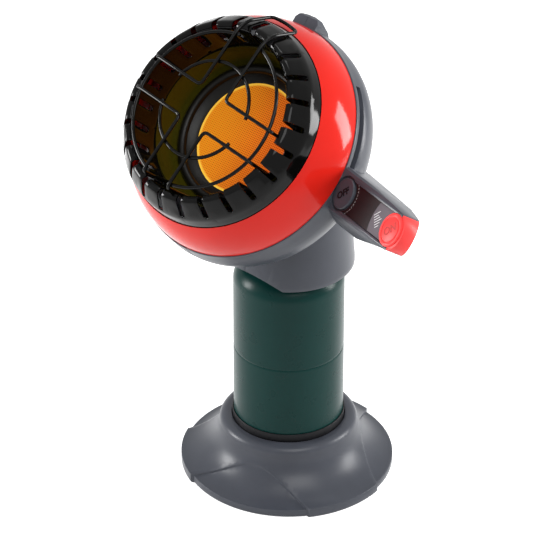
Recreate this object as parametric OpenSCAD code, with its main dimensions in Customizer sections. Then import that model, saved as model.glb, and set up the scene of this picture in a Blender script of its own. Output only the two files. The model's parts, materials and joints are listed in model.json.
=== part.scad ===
// Portable propane heater: a tilted radiant burner head screwed onto a
// disposable gas cylinder that stands in a round moulded foot.
// Millimetres. +Z up, origin under the middle of the foot, the head faces -Y
// and its control arm reaches out to +X.

/* [Foot] */
// Radius of the foot over its recessed panels
foot_r = 94.5; // [88:0.5:102]
// Height of the foot's outer rim
foot_rim_h = 7.5; // [5:0.5:10]
// Height of the foot's socket mouth
foot_top_z = 50.7; // [46:0.1:56]
// Radius at which the round shoulder of the foot starts
foot_crown_r = 62; // [60:0.5:66]
// Wall thickness of the foot moulding
foot_wall = 2.6; // [2:0.1:3.2]
// Height of the socket floor that the cylinder stands on
socket_floor_z = 29.5; // [24:0.5:32]
// Extra height of the three raised lobes
lobe_lift = 1.8; // [1:0.1:2.6]
// Extra radius of the raised lobes at the rim
lobe_reach = 2.4; // [1:0.1:3.5]
// Radius at which the recessed panels come nearest to the axis
lobe_inner_r = 65; // [63:0.5:70]
// Radius of the arc that bounds each recessed panel
lobe_arc_r = 162; // [140:1:180]
// Direction of the first raised lobe, in degrees from +X
lobe_angle = -15; // [-60:1:60]
// Thickness of the ribs under the foot
foot_rib_t = 2.2; // [1.6:0.1:3]

/* [Cylinder] */
// Outer radius of the steel cylinder
cyl_r = 49.2; // [47:0.1:50]
// Sheet thickness of the cylinder
cyl_wall = 0.9; // [0.7:0.1:1.4]
// Height of the weld seam
cyl_seam_z = 125; // [110:1:140]
// Height at which the shoulder starts to curve in
cyl_shoulder_z = 193; // [180:1:198]
// Height of the shoulder where it meets the neck
cyl_crown_z = 216; // [212:0.5:220]
// Outer radius of the threaded neck
neck_r = 12.7; // [11:0.1:13.5]
// Length of the thread above the neck's flange
thread_len = 14.5; // [12:0.5:16]
// Wall thickness of the black boot under the cylinder
boot_wall = 1.15; // [0.9:0.05:1.6]
// Height of the boot's top edge
boot_top_z = 58; // [54:0.5:64]
// Radial clearance between the boot and the foot's socket
socket_gap = 0.55; // [0.3:0.05:1]

/* [Head] */
// Tilt of the head's axis above the horizontal, in degrees
head_tilt = 43.5; // [40:0.5:47]
// Height at which the head's axis meets the cylinder's axis
axis_cross_z = 304.7; // [300:0.1:312]
// Largest radius of the rear bowl
bowl_r = 108.6; // [104:0.1:112]
// Wall thickness of the plastic housing
shell_wall = 2.5; // [2:0.1:3]
// Distance of the housing's front face along the head's axis
front_h = 78.5; // [74:0.5:82]
// Depth of the rear bowl behind its widest ring
bowl_depth = 66; // [60:1:74]
// Radius of the collar at its lower edge
collar_r = 57.8; // [55:0.1:60]
// Height of the collar's lower edge at the sides
collar_z = 212.6; // [208:0.1:216]
// Height of the arch in the collar's front edge
arch_z = 224.7; // [220:0.1:228]
// Radius of that arch
arch_r = 54; // [45:1:65]
// Gap between the two halves of the housing
seam_gap = 0.3; // [0.1:0.05:0.5]

/* [Burner] */
// Largest radius of the red front ring
bezel_r = 105.9; // [102:0.1:107]
// Outer radius of the black dish
dish_r = 92.8; // [89:0.1:94]
// Height of the dish's outer edge along the head's axis
dish_edge_h = 112; // [108:0.5:116]
// Height of the rolled crest of the dish
crest_h = 142.6; // [138:0.1:146]
// Radius of the crest's roll
crest_roll = 4.5; // [3.5:0.1:5.5]
// Radius at the middle of the crest
crest_r = 77.5; // [76:0.1:79]
// Thickness of the dish's sheet
dish_t = 1; // [0.8:0.1:1.4]
// Number of slots round the crest
slot_count = 24; // [20:1:26]
// Width of each slot
slot_w = 5; // [4:0.1:6]
// Direction of the first slot, in degrees
slot_angle = 12; // [0:1:15]
// Radius of the visible throat at its back edge
throat_r = 70.2; // [68:0.1:72]
// Height of the throat's back edge
throat_h = 107; // [103:0.5:110]
// Radius of the burner's ceramic tile
tile_r = 51.5; // [49:0.1:53]
// Height of the tile's glowing face along the head's axis
tile_h = 73.3; // [70:0.1:76]
// Thickness of the tile
tile_t = 12; // [10:0.5:13]

/* [Guard] */
// Diameter of the guard's wire
wire_d = 2.7; // [2.2:0.1:3]
// Height of the outer guard ring along the head's axis
guard_h = 147; // [145:0.1:149]
// Radius of the outer guard ring
ring_outer_r = 68.4; // [66:0.1:69]
// Radius of the inner guard ring
ring_inner_r = 42.6; // [38:0.1:48]
// Half the distance between the two wires of an arm
guard_half = 15; // [13:0.1:18]
// Turn of the cross seen from the front, in degrees
guard_turn = -8; // [-20:1:20]

/* [Control arm] */
// Sideways place of the OFF button from the head's axis
arm_u = 118.2; // [116:0.1:120]
// Height of the OFF button above the head's axis
arm_v = -9.6; // [-14:0.1:-4]
// Place of the arm's face along the head's axis
arm_h = 79; // [77:0.1:81]
// Forward sweep of the arm, in degrees
arm_sweep = 20.3; // [16:0.1:24]
// Downward slope of the arm, in degrees
arm_droop = 9.6; // [4:0.1:14]
// Roll of the arm's face towards the floor, in degrees
arm_roll = 6.9; // [3:0.1:10]
// Distance between the two buttons
button_pitch = 82.4; // [78:0.1:86]
// Radius of the arm's round end
arm_end_r = 16.6; // [16:0.1:18]
// Wall thickness of the arm
arm_wall = 2.2; // [1.8:0.1:2.6]
// Half width of the recessed panel
panel_half = 13.5; // [12.8:0.1:14]
// Radius of the OFF button
off_r = 13.5; // [12.5:0.1:13.8]
// Travel of the OFF button
off_travel = 4; // [2.5:0.5:5]
// Radius of the ON button
on_r = 14.3; // [13.5:0.1:14.6]
// Travel of the ON button
on_travel = 6; // [4:0.5:7]

/* [Hidden] */

$fn = 96;
e = 0.01;                       // overlap that makes cuts run clean through
face_gap = 0.3;                 // running clearance between moving pieces
tube_facets = 14;
wire_facets = 14;

// Foot
socket_r = cyl_r + 0.05 + boot_wall + socket_gap;
foot_shoulder_h = 6.7;          // height of the round shoulder
foot_shoulder_z = foot_top_z - foot_shoulder_h;
foot_floor_t = 2.4;
foot_hub_r = 11;
foot_ribs = 6;
lobe_count = 3;
lobe_centre_r = lobe_inner_r + lobe_arc_r;

// Cylinder
boot_r = cyl_r + 0.05 + boot_wall;
boot_floor_t = 1.2;
cyl_bottom_z = socket_floor_z + boot_floor_t;
cyl_bottom_h = 17;              // height of the bottom's curve
cyl_flat_r = 18;                // flat middle of the bottom
seam_groove = 0.5;
neck_flange_r = 15.2;
neck_flange_t = 1.5;
neck_bore_r = 5;
neck_top_z = cyl_crown_z + neck_flange_t + thread_len;
valve_fit = 0.05;               // press fit allowance of the valve core
pin_r = 1;
pin_top_z = neck_top_z - 2.5;
relief_at = [-19, 18];
relief_r = 4;

// Inlet and regulator
seal_t = 2;
thread_fit = 0.08;
inlet_r = 17.4;
inlet_skirt_z = cyl_crown_z + neck_flange_t + 1.2;
inlet_ceiling_z = neck_top_z + seal_t;
inlet_top_z = inlet_ceiling_z + 8;
reg_neck_r = 15;
reg_r = 25;
reg_floor_z = inlet_top_z + 8;
reg_joint_z = reg_floor_z + 12;
reg_chamber_r = 20.5;
reg_port_z = reg_floor_z + 6;
reg_port_x = 34;
diaphragm_t = 0.8;
reg_cap_h = 20;
reg_cap_wall = 1.2;
tube_r = 2.4;

// Head stations along its axis
bowl_mid_h = front_h - 15.5;    // widest ring of the bowl
bowl_lip_r = bezel_r + 1;
rim_inner_r = 100;              // inside of the solid front rim
rim_depth = 8.5;
bezel_t = 1.6;
bezel_bulge_r = 70;             // radius of the ring's convex section
dish_flange_h = dish_edge_h + 3;
slot_outer_h = 131;
slot_inner_h = 120;
reflector_t = 0.8;
reflector_inner_r = 57.2;
reflector_inner_h = 76.2;
cup_r = 55.4;
cup_wall = 1;
cup_back_h = 45;
gasket_r = cup_r - cup_wall - 0.05;
retainer_t = 1;
tile_lip = 2.1;                 // how far the retainer laps over the tile
venturi_r = 8.5;
venturi_back_h = 13;
jet_r = 3;
jet_tip_h = 15;
holder_r = 7;
holder_back_h = -3;
holder_front_h = 8;

// Guard
wire_r = wire_d / 2;
cross_h = guard_h + wire_d + 0.05;
leg_top_r = ring_outer_r + wire_d + 1.3;
leg_foot_r = throat_r - wire_r - 0.08;
leg_foot_h = throat_h + 1.4;
wire_bend = 5;                  // reach of each bend in the guard's wire
ring_stop = 3.2;                // arcs stop this far inside the arm wires

// Control arm, in its own frame: X along the arm, Z out of its face
rail_h = 2;                     // the rails stand this far above the panel
plate_t = 2;
arm_root = -64;
arm_end_x = button_pitch + 5;   // where the grey arm ends and the button wraps
cover_n = -24;                  // plane where the back cover starts
cover_x = 0;
pocket_r = 15.6;
hole_gap = 0.4;
flange_t = 1.2;
bracket_n = -12.2;
bracket_t = 1.2;
bracket_half = 12;
on_top_n = 3.4;
on_skirt_n = -4;
off_top_n = 2.4;
off_skirt_n = -5;
bar_n = -3.9;                   // push bars run just under the panel plate
valve_x = [14, 38];
valve_n = [-25.2, -16.8];
valve_mid_n = -21;
valve_half = 8;
on_pin_x = 32;
off_pin_x = 21;

// Colours
c_grey = [0.36, 0.37, 0.40];
c_black = [0.06, 0.06, 0.07];
c_red = [0.86, 0.16, 0.12];
c_green = [0.13, 0.24, 0.23];
c_brass = [0.75, 0.60, 0.30];
c_steel = [0.62, 0.63, 0.65];
c_gold = [0.36, 0.31, 0.08];
c_glow = [0.95, 0.52, 0.12];

// ---------- helpers ----------

function lerp(a, b, t) = a + (b - a) * t;

// Points of an arc about c from angle a0 to a1.
function arc(c, r, a0, a1, n) =
    [for (i = [0:n]) let (a = lerp(a0, a1, i / n)) [c[0] + r * cos(a), c[1] + r * sin(a)]];

// Points of an upright ellipse about c from angle a0 to a1.
function oval(c, rx, ry, a0, a1, n) =
    [for (i = [0:n]) let (a = lerp(a0, a1, i / n)) [c[0] + rx * cos(a), c[1] + ry * sin(a)]];

function unit(v) = v / norm(v);

// Head frame: X to the side, Y up the face, Z out along the head's axis,
// measured from the point where that axis meets the cylinder's axis.
module head_frame() {
    translate([0, 0, axis_cross_z]) rotate([90 - head_tilt, 0, 0]) children();
}

// Control arm frame: X along the arm from the OFF button, Z out of its face.
module arm_frame() {
    head_frame() translate([arm_u, arm_v, arm_h])
        rotate([0, -arm_sweep, 0]) rotate([0, 0, -arm_droop]) rotate([arm_roll, 0, 0]) children();
}

// A point of the head frame in world coordinates.
function head_pt(p) =
    let (c = cos(90 - head_tilt), s = sin(90 - head_tilt))
    [p[0], p[1] * c - p[2] * s, axis_cross_z + p[1] * s + p[2] * c];

// A point of the arm frame in world coordinates.
function arm_pt(p) =
    let (a = [p[0], p[1] * cos(arm_roll) - p[2] * sin(arm_roll),
              p[1] * sin(arm_roll) + p[2] * cos(arm_roll)],
         b = [a[0] * cos(arm_droop) + a[1] * sin(arm_droop),
              -a[0] * sin(arm_droop) + a[1] * cos(arm_droop), a[2]],
         c = [b[0] * cos(arm_sweep) - b[2] * sin(arm_sweep), b[1],
              b[0] * sin(arm_sweep) + b[2] * cos(arm_sweep)])
    head_pt([c[0] + arm_u, c[1] + arm_v, c[2] + arm_h]);

// A path with each corner rounded: every bend takes up to reach of each side.
function rounded(path, reach, steps) =
    let (last = len(path) - 1)
    concat([path[0]],
        [for (i = [1:last - 1])
            let (b = path[i], u = path[i - 1] - b, v = path[i + 1] - b,
                 k = min(reach, norm(u) * 0.48, norm(v) * 0.48),
                 p = b + unit(u) * k, q = b + unit(v) * k)
            for (j = [0:steps]) let (t = j / steps)
                (1 - t) * (1 - t) * p + 2 * t * (1 - t) * b + t * t * q],
        [path[last]]);

// Direction of a path at point i.
function heading(path, i) =
    unit(path[min(i + 1, len(path) - 1)] - path[max(i - 1, 0)]);

// Side vectors along a path, each turned as little as possible from the one before.
function sides(path, i, side, found) =
    i == len(path) ? found :
    let (h = heading(path, i), n = unit(side - (side * h) * h))
    sides(path, i + 1, n, concat(found, [n]));

// A round tube, wire or rod swept along a path as one closed skin.
module swept(path, r, facets) {
    first = heading(path, 0);
    start = abs(first[2]) < 0.8 ? [0, 0, 1] : [1, 0, 0];
    side = sides(path, 0, start, []);
    count = len(path);
    points = [for (i = [0:count - 1]) let (h = heading(path, i), u = side[i], v = cross(h, u))
        for (k = [0:facets - 1]) let (a = 360 * k / facets)
            path[i] + r * cos(a) * u + r * sin(a) * v];
    skin = [for (i = [0:count - 2], k = [0:facets - 1])
        let (m = i * facets, j = (k + 1) % facets)
        [m + k, m + facets + k, m + facets + j, m + j]];
    polyhedron(points = points, faces = concat(
        [[for (k = [0:facets - 1]) k]],
        [[for (k = [facets - 1:-1:0]) (count - 1) * facets + k]],
        skin));
}

// A bent metal tube or cable along a hand-laid route.
module tube(route, r) {
    swept(rounded(route, 9, 4), r, tube_facets);
}

// A wire of the guard.
module wire(path) {
    swept(rounded(path, wire_bend, 5), wire_r, wire_facets);
}

// A coil spring along Z.
module coil(r, wire_r, h, turns) {
    steps = turns * 16;
    swept([for (i = [0:steps]) let (a = i * 360 * turns / steps)
        [r * cos(a), r * sin(a), wire_r * 1.05 + (h - 2.1 * wire_r) * i / steps]], wire_r, 6);
}

// Part of a ring about Z, a full wire section swept from angle a0 to a1.
module ring_arc(r, wire_r, a0, a1) {
    rotate([0, 0, a0]) rotate_extrude(angle = a1 - a0, $fn = 96)
        translate([r, 0]) circle(r = wire_r, $fn = 24);
}

// ---------- foot ----------

// Concave flare of the foot from its shoulder to its rim.
function foot_flare(reach, lift, n) =
    [for (i = [0:n]) let (a = 90 * i / n)
        [foot_crown_r + (foot_r + reach - foot_crown_r) * (1 - pow(cos(a), 1.3)),
         foot_shoulder_z - (foot_shoulder_z - foot_rim_h) * sin(a) + lift * sin(a)]];

module foot_skin(reach, lift) {
    rotate_extrude(convexity = 4) polygon(concat(
        [[0, 0], [foot_r + reach - 1.2, 0], [foot_r + reach, 1.2]],
        [for (i = [14:-1:0]) foot_flare(reach, lift, 14)[i]],
        oval([foot_crown_r - 8, foot_shoulder_z], 8, foot_shoulder_h, 10, 90, 8),
        [[0, foot_top_z]]));
}

module foot_hollow() {
    inset = foot_wall * 0.85;
    rotate_extrude(convexity = 4) polygon(concat(
        [[0, -1], [foot_r - foot_wall, -1], [foot_r - foot_wall, foot_rim_h - inset]],
        [for (i = [12:-1:0]) foot_flare(0, 0, 14)[i] - [inset, inset]],
        [[socket_r + foot_wall, foot_shoulder_z - inset],
         [socket_r + foot_wall, socket_floor_z - foot_floor_t],
         [0, socket_floor_z - foot_floor_t]]));
}

module base_foot() {
    color(c_grey) difference() {
        union() {
            foot_skin(0, 0);
            difference() {
                foot_skin(lobe_reach, lobe_lift);
                for (i = [0:lobe_count - 1])
                    rotate([0, 0, lobe_angle + (i + 0.5) * 360 / lobe_count])
                        translate([lobe_centre_r, 0, -1])
                        cylinder(r = lobe_arc_r, h = foot_top_z + 2, $fn = 180);
            }
        }
        difference() {
            foot_hollow();
            translate([0, 0, -2]) cylinder(r = foot_hub_r, h = socket_floor_z);
            for (i = [0:foot_ribs - 1]) rotate([0, 0, i * 360 / foot_ribs])
                translate([0, -foot_rib_t / 2, 0.6]) cube([foot_r, foot_rib_t, foot_top_z]);
        }
        translate([0, 0, socket_floor_z]) cylinder(r = socket_r, h = foot_top_z);
    }
}

// ---------- gas cylinder ----------

module cylinder_boot() {
    color(c_black) difference() {
        translate([0, 0, socket_floor_z]) cylinder(r = boot_r, h = boot_top_z - socket_floor_z);
        translate([0, 0, cyl_bottom_z])
            cylinder(r = cyl_r + 0.05, h = boot_top_z);
    }
}

// Outline of the lower drawn cup at a given inset from its outside.
function cup_bottom(t) = concat(
    [[0, cyl_bottom_z + t], [cyl_flat_r, cyl_bottom_z + t]],
    oval([cyl_flat_r, cyl_bottom_z + cyl_bottom_h], cyl_r - cyl_flat_r - t, cyl_bottom_h - t,
         -80, 0, 9));

function cup_top(t) = concat(
    oval([neck_r + 1, cyl_shoulder_z], cyl_r - neck_r - 1 - t, cyl_crown_z - cyl_shoulder_z - t,
         0, 90, 14));

module cylinder_lower_shell() {
    color(c_green) rotate_extrude(convexity = 4) difference() {
        polygon(concat(cup_bottom(0),
            [[cyl_r, cyl_seam_z - seam_groove], [cyl_r - seam_groove, cyl_seam_z], [0, cyl_seam_z]]));
        polygon(concat(cup_bottom(cyl_wall), [[cyl_r - cyl_wall, cyl_seam_z + 1], [0, cyl_seam_z + 1]]));
    }
}

module cylinder_upper_shell() {
    color(c_green) difference() {
        rotate_extrude(convexity = 4) difference() {
            polygon(concat([[0, cyl_seam_z], [cyl_r - seam_groove, cyl_seam_z],
                [cyl_r, cyl_seam_z + seam_groove]], cup_top(0), [[0, cyl_crown_z]]));
            polygon(concat([[0, cyl_seam_z - 1], [cyl_r - cyl_wall, cyl_seam_z - 1]],
                cup_top(cyl_wall), [[0, cyl_crown_z - cyl_wall]]));
        }
        cylinder(r = neck_r + 0.05, h = cyl_crown_z + 1);
        translate([relief_at[0], relief_at[1], cyl_shoulder_z])
            cylinder(r = relief_r + 0.05, h = 40, $fn = 32);
    }
}

module cylinder_neck() {
    color(c_steel) difference() {
        union() {
            translate([0, 0, cyl_crown_z - 6]) cylinder(r = neck_r, h = neck_top_z - cyl_crown_z + 6);
            translate([0, 0, cyl_crown_z]) cylinder(r = neck_flange_r, h = neck_flange_t);
        }
        translate([0, 0, cyl_crown_z - 7]) cylinder(r = neck_bore_r, h = neck_top_z);
    }
}

module cylinder_valve() {
    color(c_brass) {
        translate([0, 0, cyl_crown_z - 4])
            cylinder(r = neck_bore_r - valve_fit, h = neck_top_z - cyl_crown_z - 2);
        translate([0, 0, cyl_crown_z]) cylinder(r = pin_r, h = pin_top_z - cyl_crown_z, $fn = 24);
    }
}

module cylinder_relief_valve() {
    color(c_brass) translate([relief_at[0], relief_at[1], cyl_crown_z - 5]) {
        cylinder(r = relief_r, h = 9, $fn = 32);
        translate([0, 0, 9 - e]) cylinder(r = relief_r - 1.4, h = 1.6, $fn = 32);
    }
}

// ---------- inlet and regulator ----------

module inlet_seal() {
    color(c_black) translate([0, 0, neck_top_z]) difference() {
        cylinder(r = neck_r - 0.3, h = seal_t);
        translate([0, 0, -1]) cylinder(r = neck_bore_r + 0.2, h = seal_t + 2);
    }
}

module inlet_fitting() {
    color(c_brass) difference() {
        union() {
            difference() {
                translate([0, 0, inlet_skirt_z]) cylinder(r = inlet_r, h = inlet_top_z - inlet_skirt_z);
                translate([0, 0, inlet_skirt_z - 1])
                    cylinder(r = neck_r + thread_fit, h = inlet_ceiling_z - inlet_skirt_z + 1);
            }
            translate([0, 0, pin_top_z + face_gap])
                cylinder(r = pin_r, h = inlet_ceiling_z - pin_top_z, $fn = 24);
        }
        for (s = [-1, 1]) translate([0, s * 3, inlet_ceiling_z - 1])
            cylinder(r = 1, h = 20, $fn = 24);
    }
}

module regulator_body() {
    color(c_brass) difference() {
        union() {
            translate([0, 0, inlet_top_z]) cylinder(r = reg_neck_r, h = reg_floor_z - inlet_top_z + e);
            translate([0, 0, reg_floor_z]) cylinder(r = reg_r, h = reg_joint_z - reg_floor_z);
            translate([0, 0, reg_port_z]) rotate([0, 90, 0]) cylinder(r = 5, h = reg_port_x, $fn = 32);
        }
        translate([0, 0, reg_floor_z + 3]) cylinder(r = reg_chamber_r, h = 30);
        translate([0, 0, inlet_top_z - 1]) cylinder(r = 4.5, h = 30, $fn = 32);
        translate([reg_chamber_r - 2, 0, reg_port_z]) rotate([0, 90, 0])
            cylinder(r = tube_r + 0.05, h = 40, $fn = 32);
    }
}

module regulator_diaphragm() {
    color(c_black) translate([0, 0, reg_joint_z]) cylinder(r = reg_r, h = diaphragm_t);
}

module regulator_spring() {
    color(c_steel) translate([0, 0, reg_joint_z + diaphragm_t])
        coil(7, 0.7, reg_cap_h - reg_cap_wall, 5);
}

module regulator_cap() {
    z0 = reg_joint_z + diaphragm_t;
    color(c_steel) translate([0, 0, z0]) rotate_extrude(convexity = 4) difference() {
        polygon([[0, 0], [reg_r, 0], [reg_r, 3], [reg_r - 4, 7], [13, 10], [11, 12],
                 [11, reg_cap_h], [0, reg_cap_h]]);
        polygon([[0, -1], [reg_chamber_r, -1], [reg_chamber_r, 4], [12.5 - reg_cap_wall, 9],
                 [11 - reg_cap_wall, 12], [11 - reg_cap_wall, reg_cap_h - reg_cap_wall],
                 [0, reg_cap_h - reg_cap_wall]]);
    }
}

// ---------- gas train in the head ----------

// Routes as round points in world coordinates, ended on their real ports.
supply_route = [[reg_port_x - 6, 0, reg_port_z], [39, 0, reg_port_z], [42, -20, 300],
    [60, -30, 316], [84, -42, 326], arm_pt([valve_x[0] - 12, -4, valve_mid_n]),
    arm_pt([valve_x[0] + 1, -4, valve_mid_n])];
feed_route = [arm_pt([valve_x[0] + 1, 4, valve_mid_n]), arm_pt([valve_x[0] - 12, 4, valve_mid_n]),
    [84, -32, 337], [42, -8, 316], head_pt([holder_r + 6, 0, 2]), head_pt([holder_r - 2, 0, 2])];

module gas_supply_tube() { color(c_brass) tube(supply_route, tube_r); }

module jet_feed_tube() { color(c_brass) tube(feed_route, tube_r); }

// Control valve with a well for each push bar's pin and a port for each tube.
module valve_body() {
    color(c_brass) arm_frame() difference() {
        translate([valve_x[0], -valve_half, valve_n[0]])
            cube([valve_x[1] - valve_x[0], 2 * valve_half, valve_n[1] - valve_n[0]]);
        for (v = [-4, 4]) translate([valve_x[0] - 1, v, valve_mid_n]) rotate([0, 90, 0])
            cylinder(r = tube_r + 0.05, h = 4, $fn = 32);
        translate([on_pin_x, 0, valve_n[1] - 5]) cylinder(r = 2.4, h = 6, $fn = 32);
        translate([off_pin_x, 0, valve_n[1] - 5]) cylinder(r = 2.4, h = 6, $fn = 32);
        translate([valve_x[1] - 2, 0, valve_mid_n]) rotate([0, 90, 0]) cylinder(r = 2.55, h = 4, $fn = 32);
    }
}

module valve_magnet() {
    color(c_steel) arm_frame() translate([valve_x[1] - 2, 0, valve_mid_n]) rotate([0, 90, 0]) {
        cylinder(r = 2.5, h = 3, $fn = 32);
        translate([0, 0, 2]) cylinder(r = 3.4, h = 7, $fn = 32);
    }
}

module jet_holder() {
    color(c_brass) head_frame() difference() {
        translate([0, 0, holder_back_h]) cylinder(r = holder_r, h = holder_front_h - holder_back_h);
        translate([0, 0, holder_back_h + 3]) cylinder(r = jet_r + 0.05, h = 20, $fn = 32);
        translate([holder_r - 3, 0, 2]) rotate([0, 90, 0])
            cylinder(r = tube_r + 0.05, h = 10, $fn = 32);
    }
}

module burner_jet() {
    color(c_brass) head_frame() difference() {
        union() {
            translate([0, 0, holder_back_h + 3])
                cylinder(r = jet_r, h = holder_front_h - holder_back_h - 3 + e, $fn = 32);
            translate([0, 0, holder_front_h]) cylinder(r1 = 5, r2 = 2.4, h = jet_tip_h - holder_front_h);
        }
        translate([0, 0, holder_back_h + 4]) cylinder(r = 1.6, h = 16, $fn = 24);
        cylinder(r = 0.4, h = 30, $fn = 24);
    }
}

// Mixing tube with a bell mouth round the jet, carried by a strap on the holder.
module venturi_tube() {
    t = 0.8;
    color(c_steel) head_frame() {
        rotate_extrude(convexity = 4) polygon([
            [14, venturi_back_h], [14 + t, venturi_back_h], [12, venturi_back_h + 5],
            [venturi_r + t, venturi_back_h + 10], [venturi_r + t, cup_back_h - t],
            [venturi_r + 5, cup_back_h - t], [venturi_r + 5, cup_back_h],
            [venturi_r, cup_back_h], [venturi_r, venturi_back_h + 10.4], [11, venturi_back_h + 5.4]]);
        for (s = [-1, 1]) {
            translate([-3, s * 11.5 - 0.6, holder_front_h]) cube([6, 1.2, venturi_back_h + 6 - holder_front_h]);
            translate([-3, s > 0 ? 5.5 : -11.5, holder_front_h])
                cube([6, 6, 1.2]);
        }
    }
}

module burner_cup() {
    color(c_steel) head_frame() difference() {
        union() {
            translate([0, 0, cup_back_h]) cylinder(r = cup_r, h = tile_h - cup_back_h);
            translate([0, 0, tile_h - 1]) cylinder(r = reflector_inner_r - 0.3, h = 1);
        }
        translate([0, 0, cup_back_h + cup_wall])
            cylinder(r = tile_r - 2.5, h = 60);
        translate([0, 0, tile_h - tile_t]) cylinder(r = cup_r - cup_wall, h = 60);
        difference() {
            translate([0, 0, cup_back_h + cup_wall])
                cylinder(r = cup_r - cup_wall, h = tile_h - tile_t - cup_back_h - 2 * cup_wall);
        }
        translate([0, 0, cup_back_h - 1]) cylinder(r = venturi_r, h = 4, $fn = 48);
    }
}

module tile_gasket() {
    color([0.85, 0.82, 0.75]) head_frame() translate([0, 0, tile_h - tile_t]) difference() {
        cylinder(r = gasket_r, h = tile_t);
        translate([0, 0, -1]) cylinder(r = tile_r + 0.05, h = tile_t + 2);
    }
}

module ceramic_tile() {
    color(c_glow) head_frame() translate([0, 0, tile_h - tile_t]) cylinder(r = tile_r, h = tile_t);
}

// Stamped ring that clamps the tile: a raised bead round a flat lip.
module tile_retainer() {
    r0 = tile_r - tile_lip;
    color(c_black) head_frame() rotate_extrude(convexity = 4) polygon([
        [r0, tile_h], [reflector_inner_r, tile_h], [reflector_inner_r, tile_h + retainer_t],
        [56, tile_h + 2.2], [54, tile_h + 2.8], [52, tile_h + 2.2], [51, tile_h + retainer_t],
        [r0, tile_h + retainer_t]]);
}

// ---------- reflector, dish and front ring ----------

function reflector_curve(dr, n) =
    [for (i = [0:n]) let (a = 90 * i / n)
        [reflector_inner_r + (throat_r - 0.2 - reflector_inner_r) * sin(a) + dr,
         reflector_inner_h + (throat_h - reflector_t - reflector_inner_h) * (1 - cos(a))]];

module reflector() {
    n = 12;
    color(c_gold) head_frame() difference() {
        rotate_extrude(convexity = 4) polygon(concat(
            reflector_curve(0, n),
            [[throat_r - 0.2, throat_h], [throat_r + 2.4, throat_h],
             [throat_r + 2.4, throat_h - reflector_t],
             [throat_r - 0.2 + reflector_t, throat_h - reflector_t]],
            [for (i = [n - 1:-1:1]) reflector_curve(reflector_t, n)[i]],
            [[reflector_inner_r + 1.2, reflector_inner_h - 0.8],
             [reflector_inner_r, reflector_inner_h - 0.8]]));
        for (t = [-8, 0, 8]) translate(pilot_pt(60, t, 60)) cylinder(r = 1.9, h = 22, $fn = 24);
    }
}

// Section of the dish at an inset t from its outer skin: outer edge, flare,
// rolled crest, then back down the throat's wall.
function dish_path(t) =
    let (c = [crest_r, crest_h - crest_roll])
    concat([[dish_r - t, dish_edge_h], [dish_r - 0.2 - t, dish_flange_h]],
        [[dish_r - 2.6 - t, dish_flange_h + 13 - t * 0.4]],
        arc(c, crest_roll - t, 35, 180, 9),
        [[throat_r + 1.2 + t, slot_inner_h], [throat_r + t, throat_h]]);

// A cutter of slot width along X, round at its lower end h.
module slot_cutter(x0, x1, h, w) {
    translate([x0, 0, h]) rotate([90, 0, 90]) linear_extrude(height = x1 - x0)
        polygon(concat([[w / 2, 40], [-w / 2, 40]], arc([0, 0], w / 2, 180, 360, 8)));
}

// One slot: it runs from the flare over the crest and down the throat's wall.
module dish_slot() {
    slot_cutter(crest_r - 0.5, crest_r + 30, slot_outer_h, slot_w);
    slot_cutter(crest_r - 14, crest_r, slot_inner_h, slot_w - 0.04);
}

module slotted_dish() {
    inner = dish_path(dish_t);
    color(c_black) head_frame() difference() {
        rotate_extrude(convexity = 4)
            polygon(concat(dish_path(0), [for (i = [len(inner) - 1:-1:0]) inner[i]]));
        for (i = [0:slot_count - 1]) rotate([0, 0, slot_angle + i * 360 / slot_count]) dish_slot();
    }
}

// Convex section of the red ring from its front lip to its back edge.
function bezel_curve(dr, n) =
    let (p = [dish_r + 0.3, dish_flange_h], q = [bezel_r, front_h],
         m = (p + q) / 2, d = q - p, half = norm(d) / 2,
         off = sqrt(bezel_bulge_r * bezel_bulge_r - half * half),
         c = m + off * unit([d[1], -d[0]]),
         a0 = atan2(p[1] - c[1], p[0] - c[0]), a1 = atan2(q[1] - c[1], q[0] - c[0]))
    arc(c, bezel_bulge_r + dr, a0, a1, n);

module front_ring() {
    n = 12;
    inner = bezel_curve(-bezel_t, n);
    color(c_red) head_frame() {
        rotate_extrude(convexity = 4) polygon(concat(
            bezel_curve(0, n), [[bezel_r - bezel_t, front_h]],
            [for (i = [n - 1:-1:1]) inner[i]],
            [[dish_r + 0.3, dish_edge_h - 1.6], [dish_r - 4, dish_edge_h - 1.6],
             [dish_r - 4, dish_edge_h], [dish_r + 0.3, dish_edge_h]]));
    }
}

module heat_shield() {
    t = 0.7;
    color(c_steel) head_frame() difference() {
        rotate_extrude(convexity = 4) polygon([
            [rim_inner_r + 3.6, front_h], [rim_inner_r + 3.6, front_h + t], [96, front_h + t],
            [92, front_h + t - 2], [72, 50 + t], [60, 46 + t], [60, 46], [72 + t, 50],
            [92 + t, front_h - 2.5], [96, front_h]]);
        rotate([0, 0, -14]) translate([74, 0, 30]) cylinder(r = 26, h = 60);
    }
}

// ---------- wire guard ----------

// Side wire of the arm along -X at side offset y: up the leg from its foot in
// the throat, then in to the corner of the cross.
function arm_path(y) =
    [[-sqrt(leg_foot_r * leg_foot_r - y * y), y, leg_foot_h],
     [-sqrt(leg_top_r * leg_top_r - y * y), y, cross_h],
     [-guard_half, y, cross_h]];

function reversed(path) = [for (i = [len(path) - 1:-1:0]) path[i]];
function mirrored(path) = [for (p = path) [-p[0], p[1], p[2]]];
function turned(path) = [for (p = path) [-p[1], p[0], p[2]]];

// Half of the top arm: over the crest of the dish and down its flare to the
// closed end above the front ring.
top_end_r = dish_r + 4.4;
top_end_h = dish_flange_h + 4;
function over_path() =
    let (x = -guard_half, up = function (r) sqrt(r * r - x * x))
    [[x, up(crest_r - 4), cross_h], [x, up(crest_r + 5.4), crest_h + wire_r + 0.6],
     [x, up(top_end_r), top_end_h]];

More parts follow.
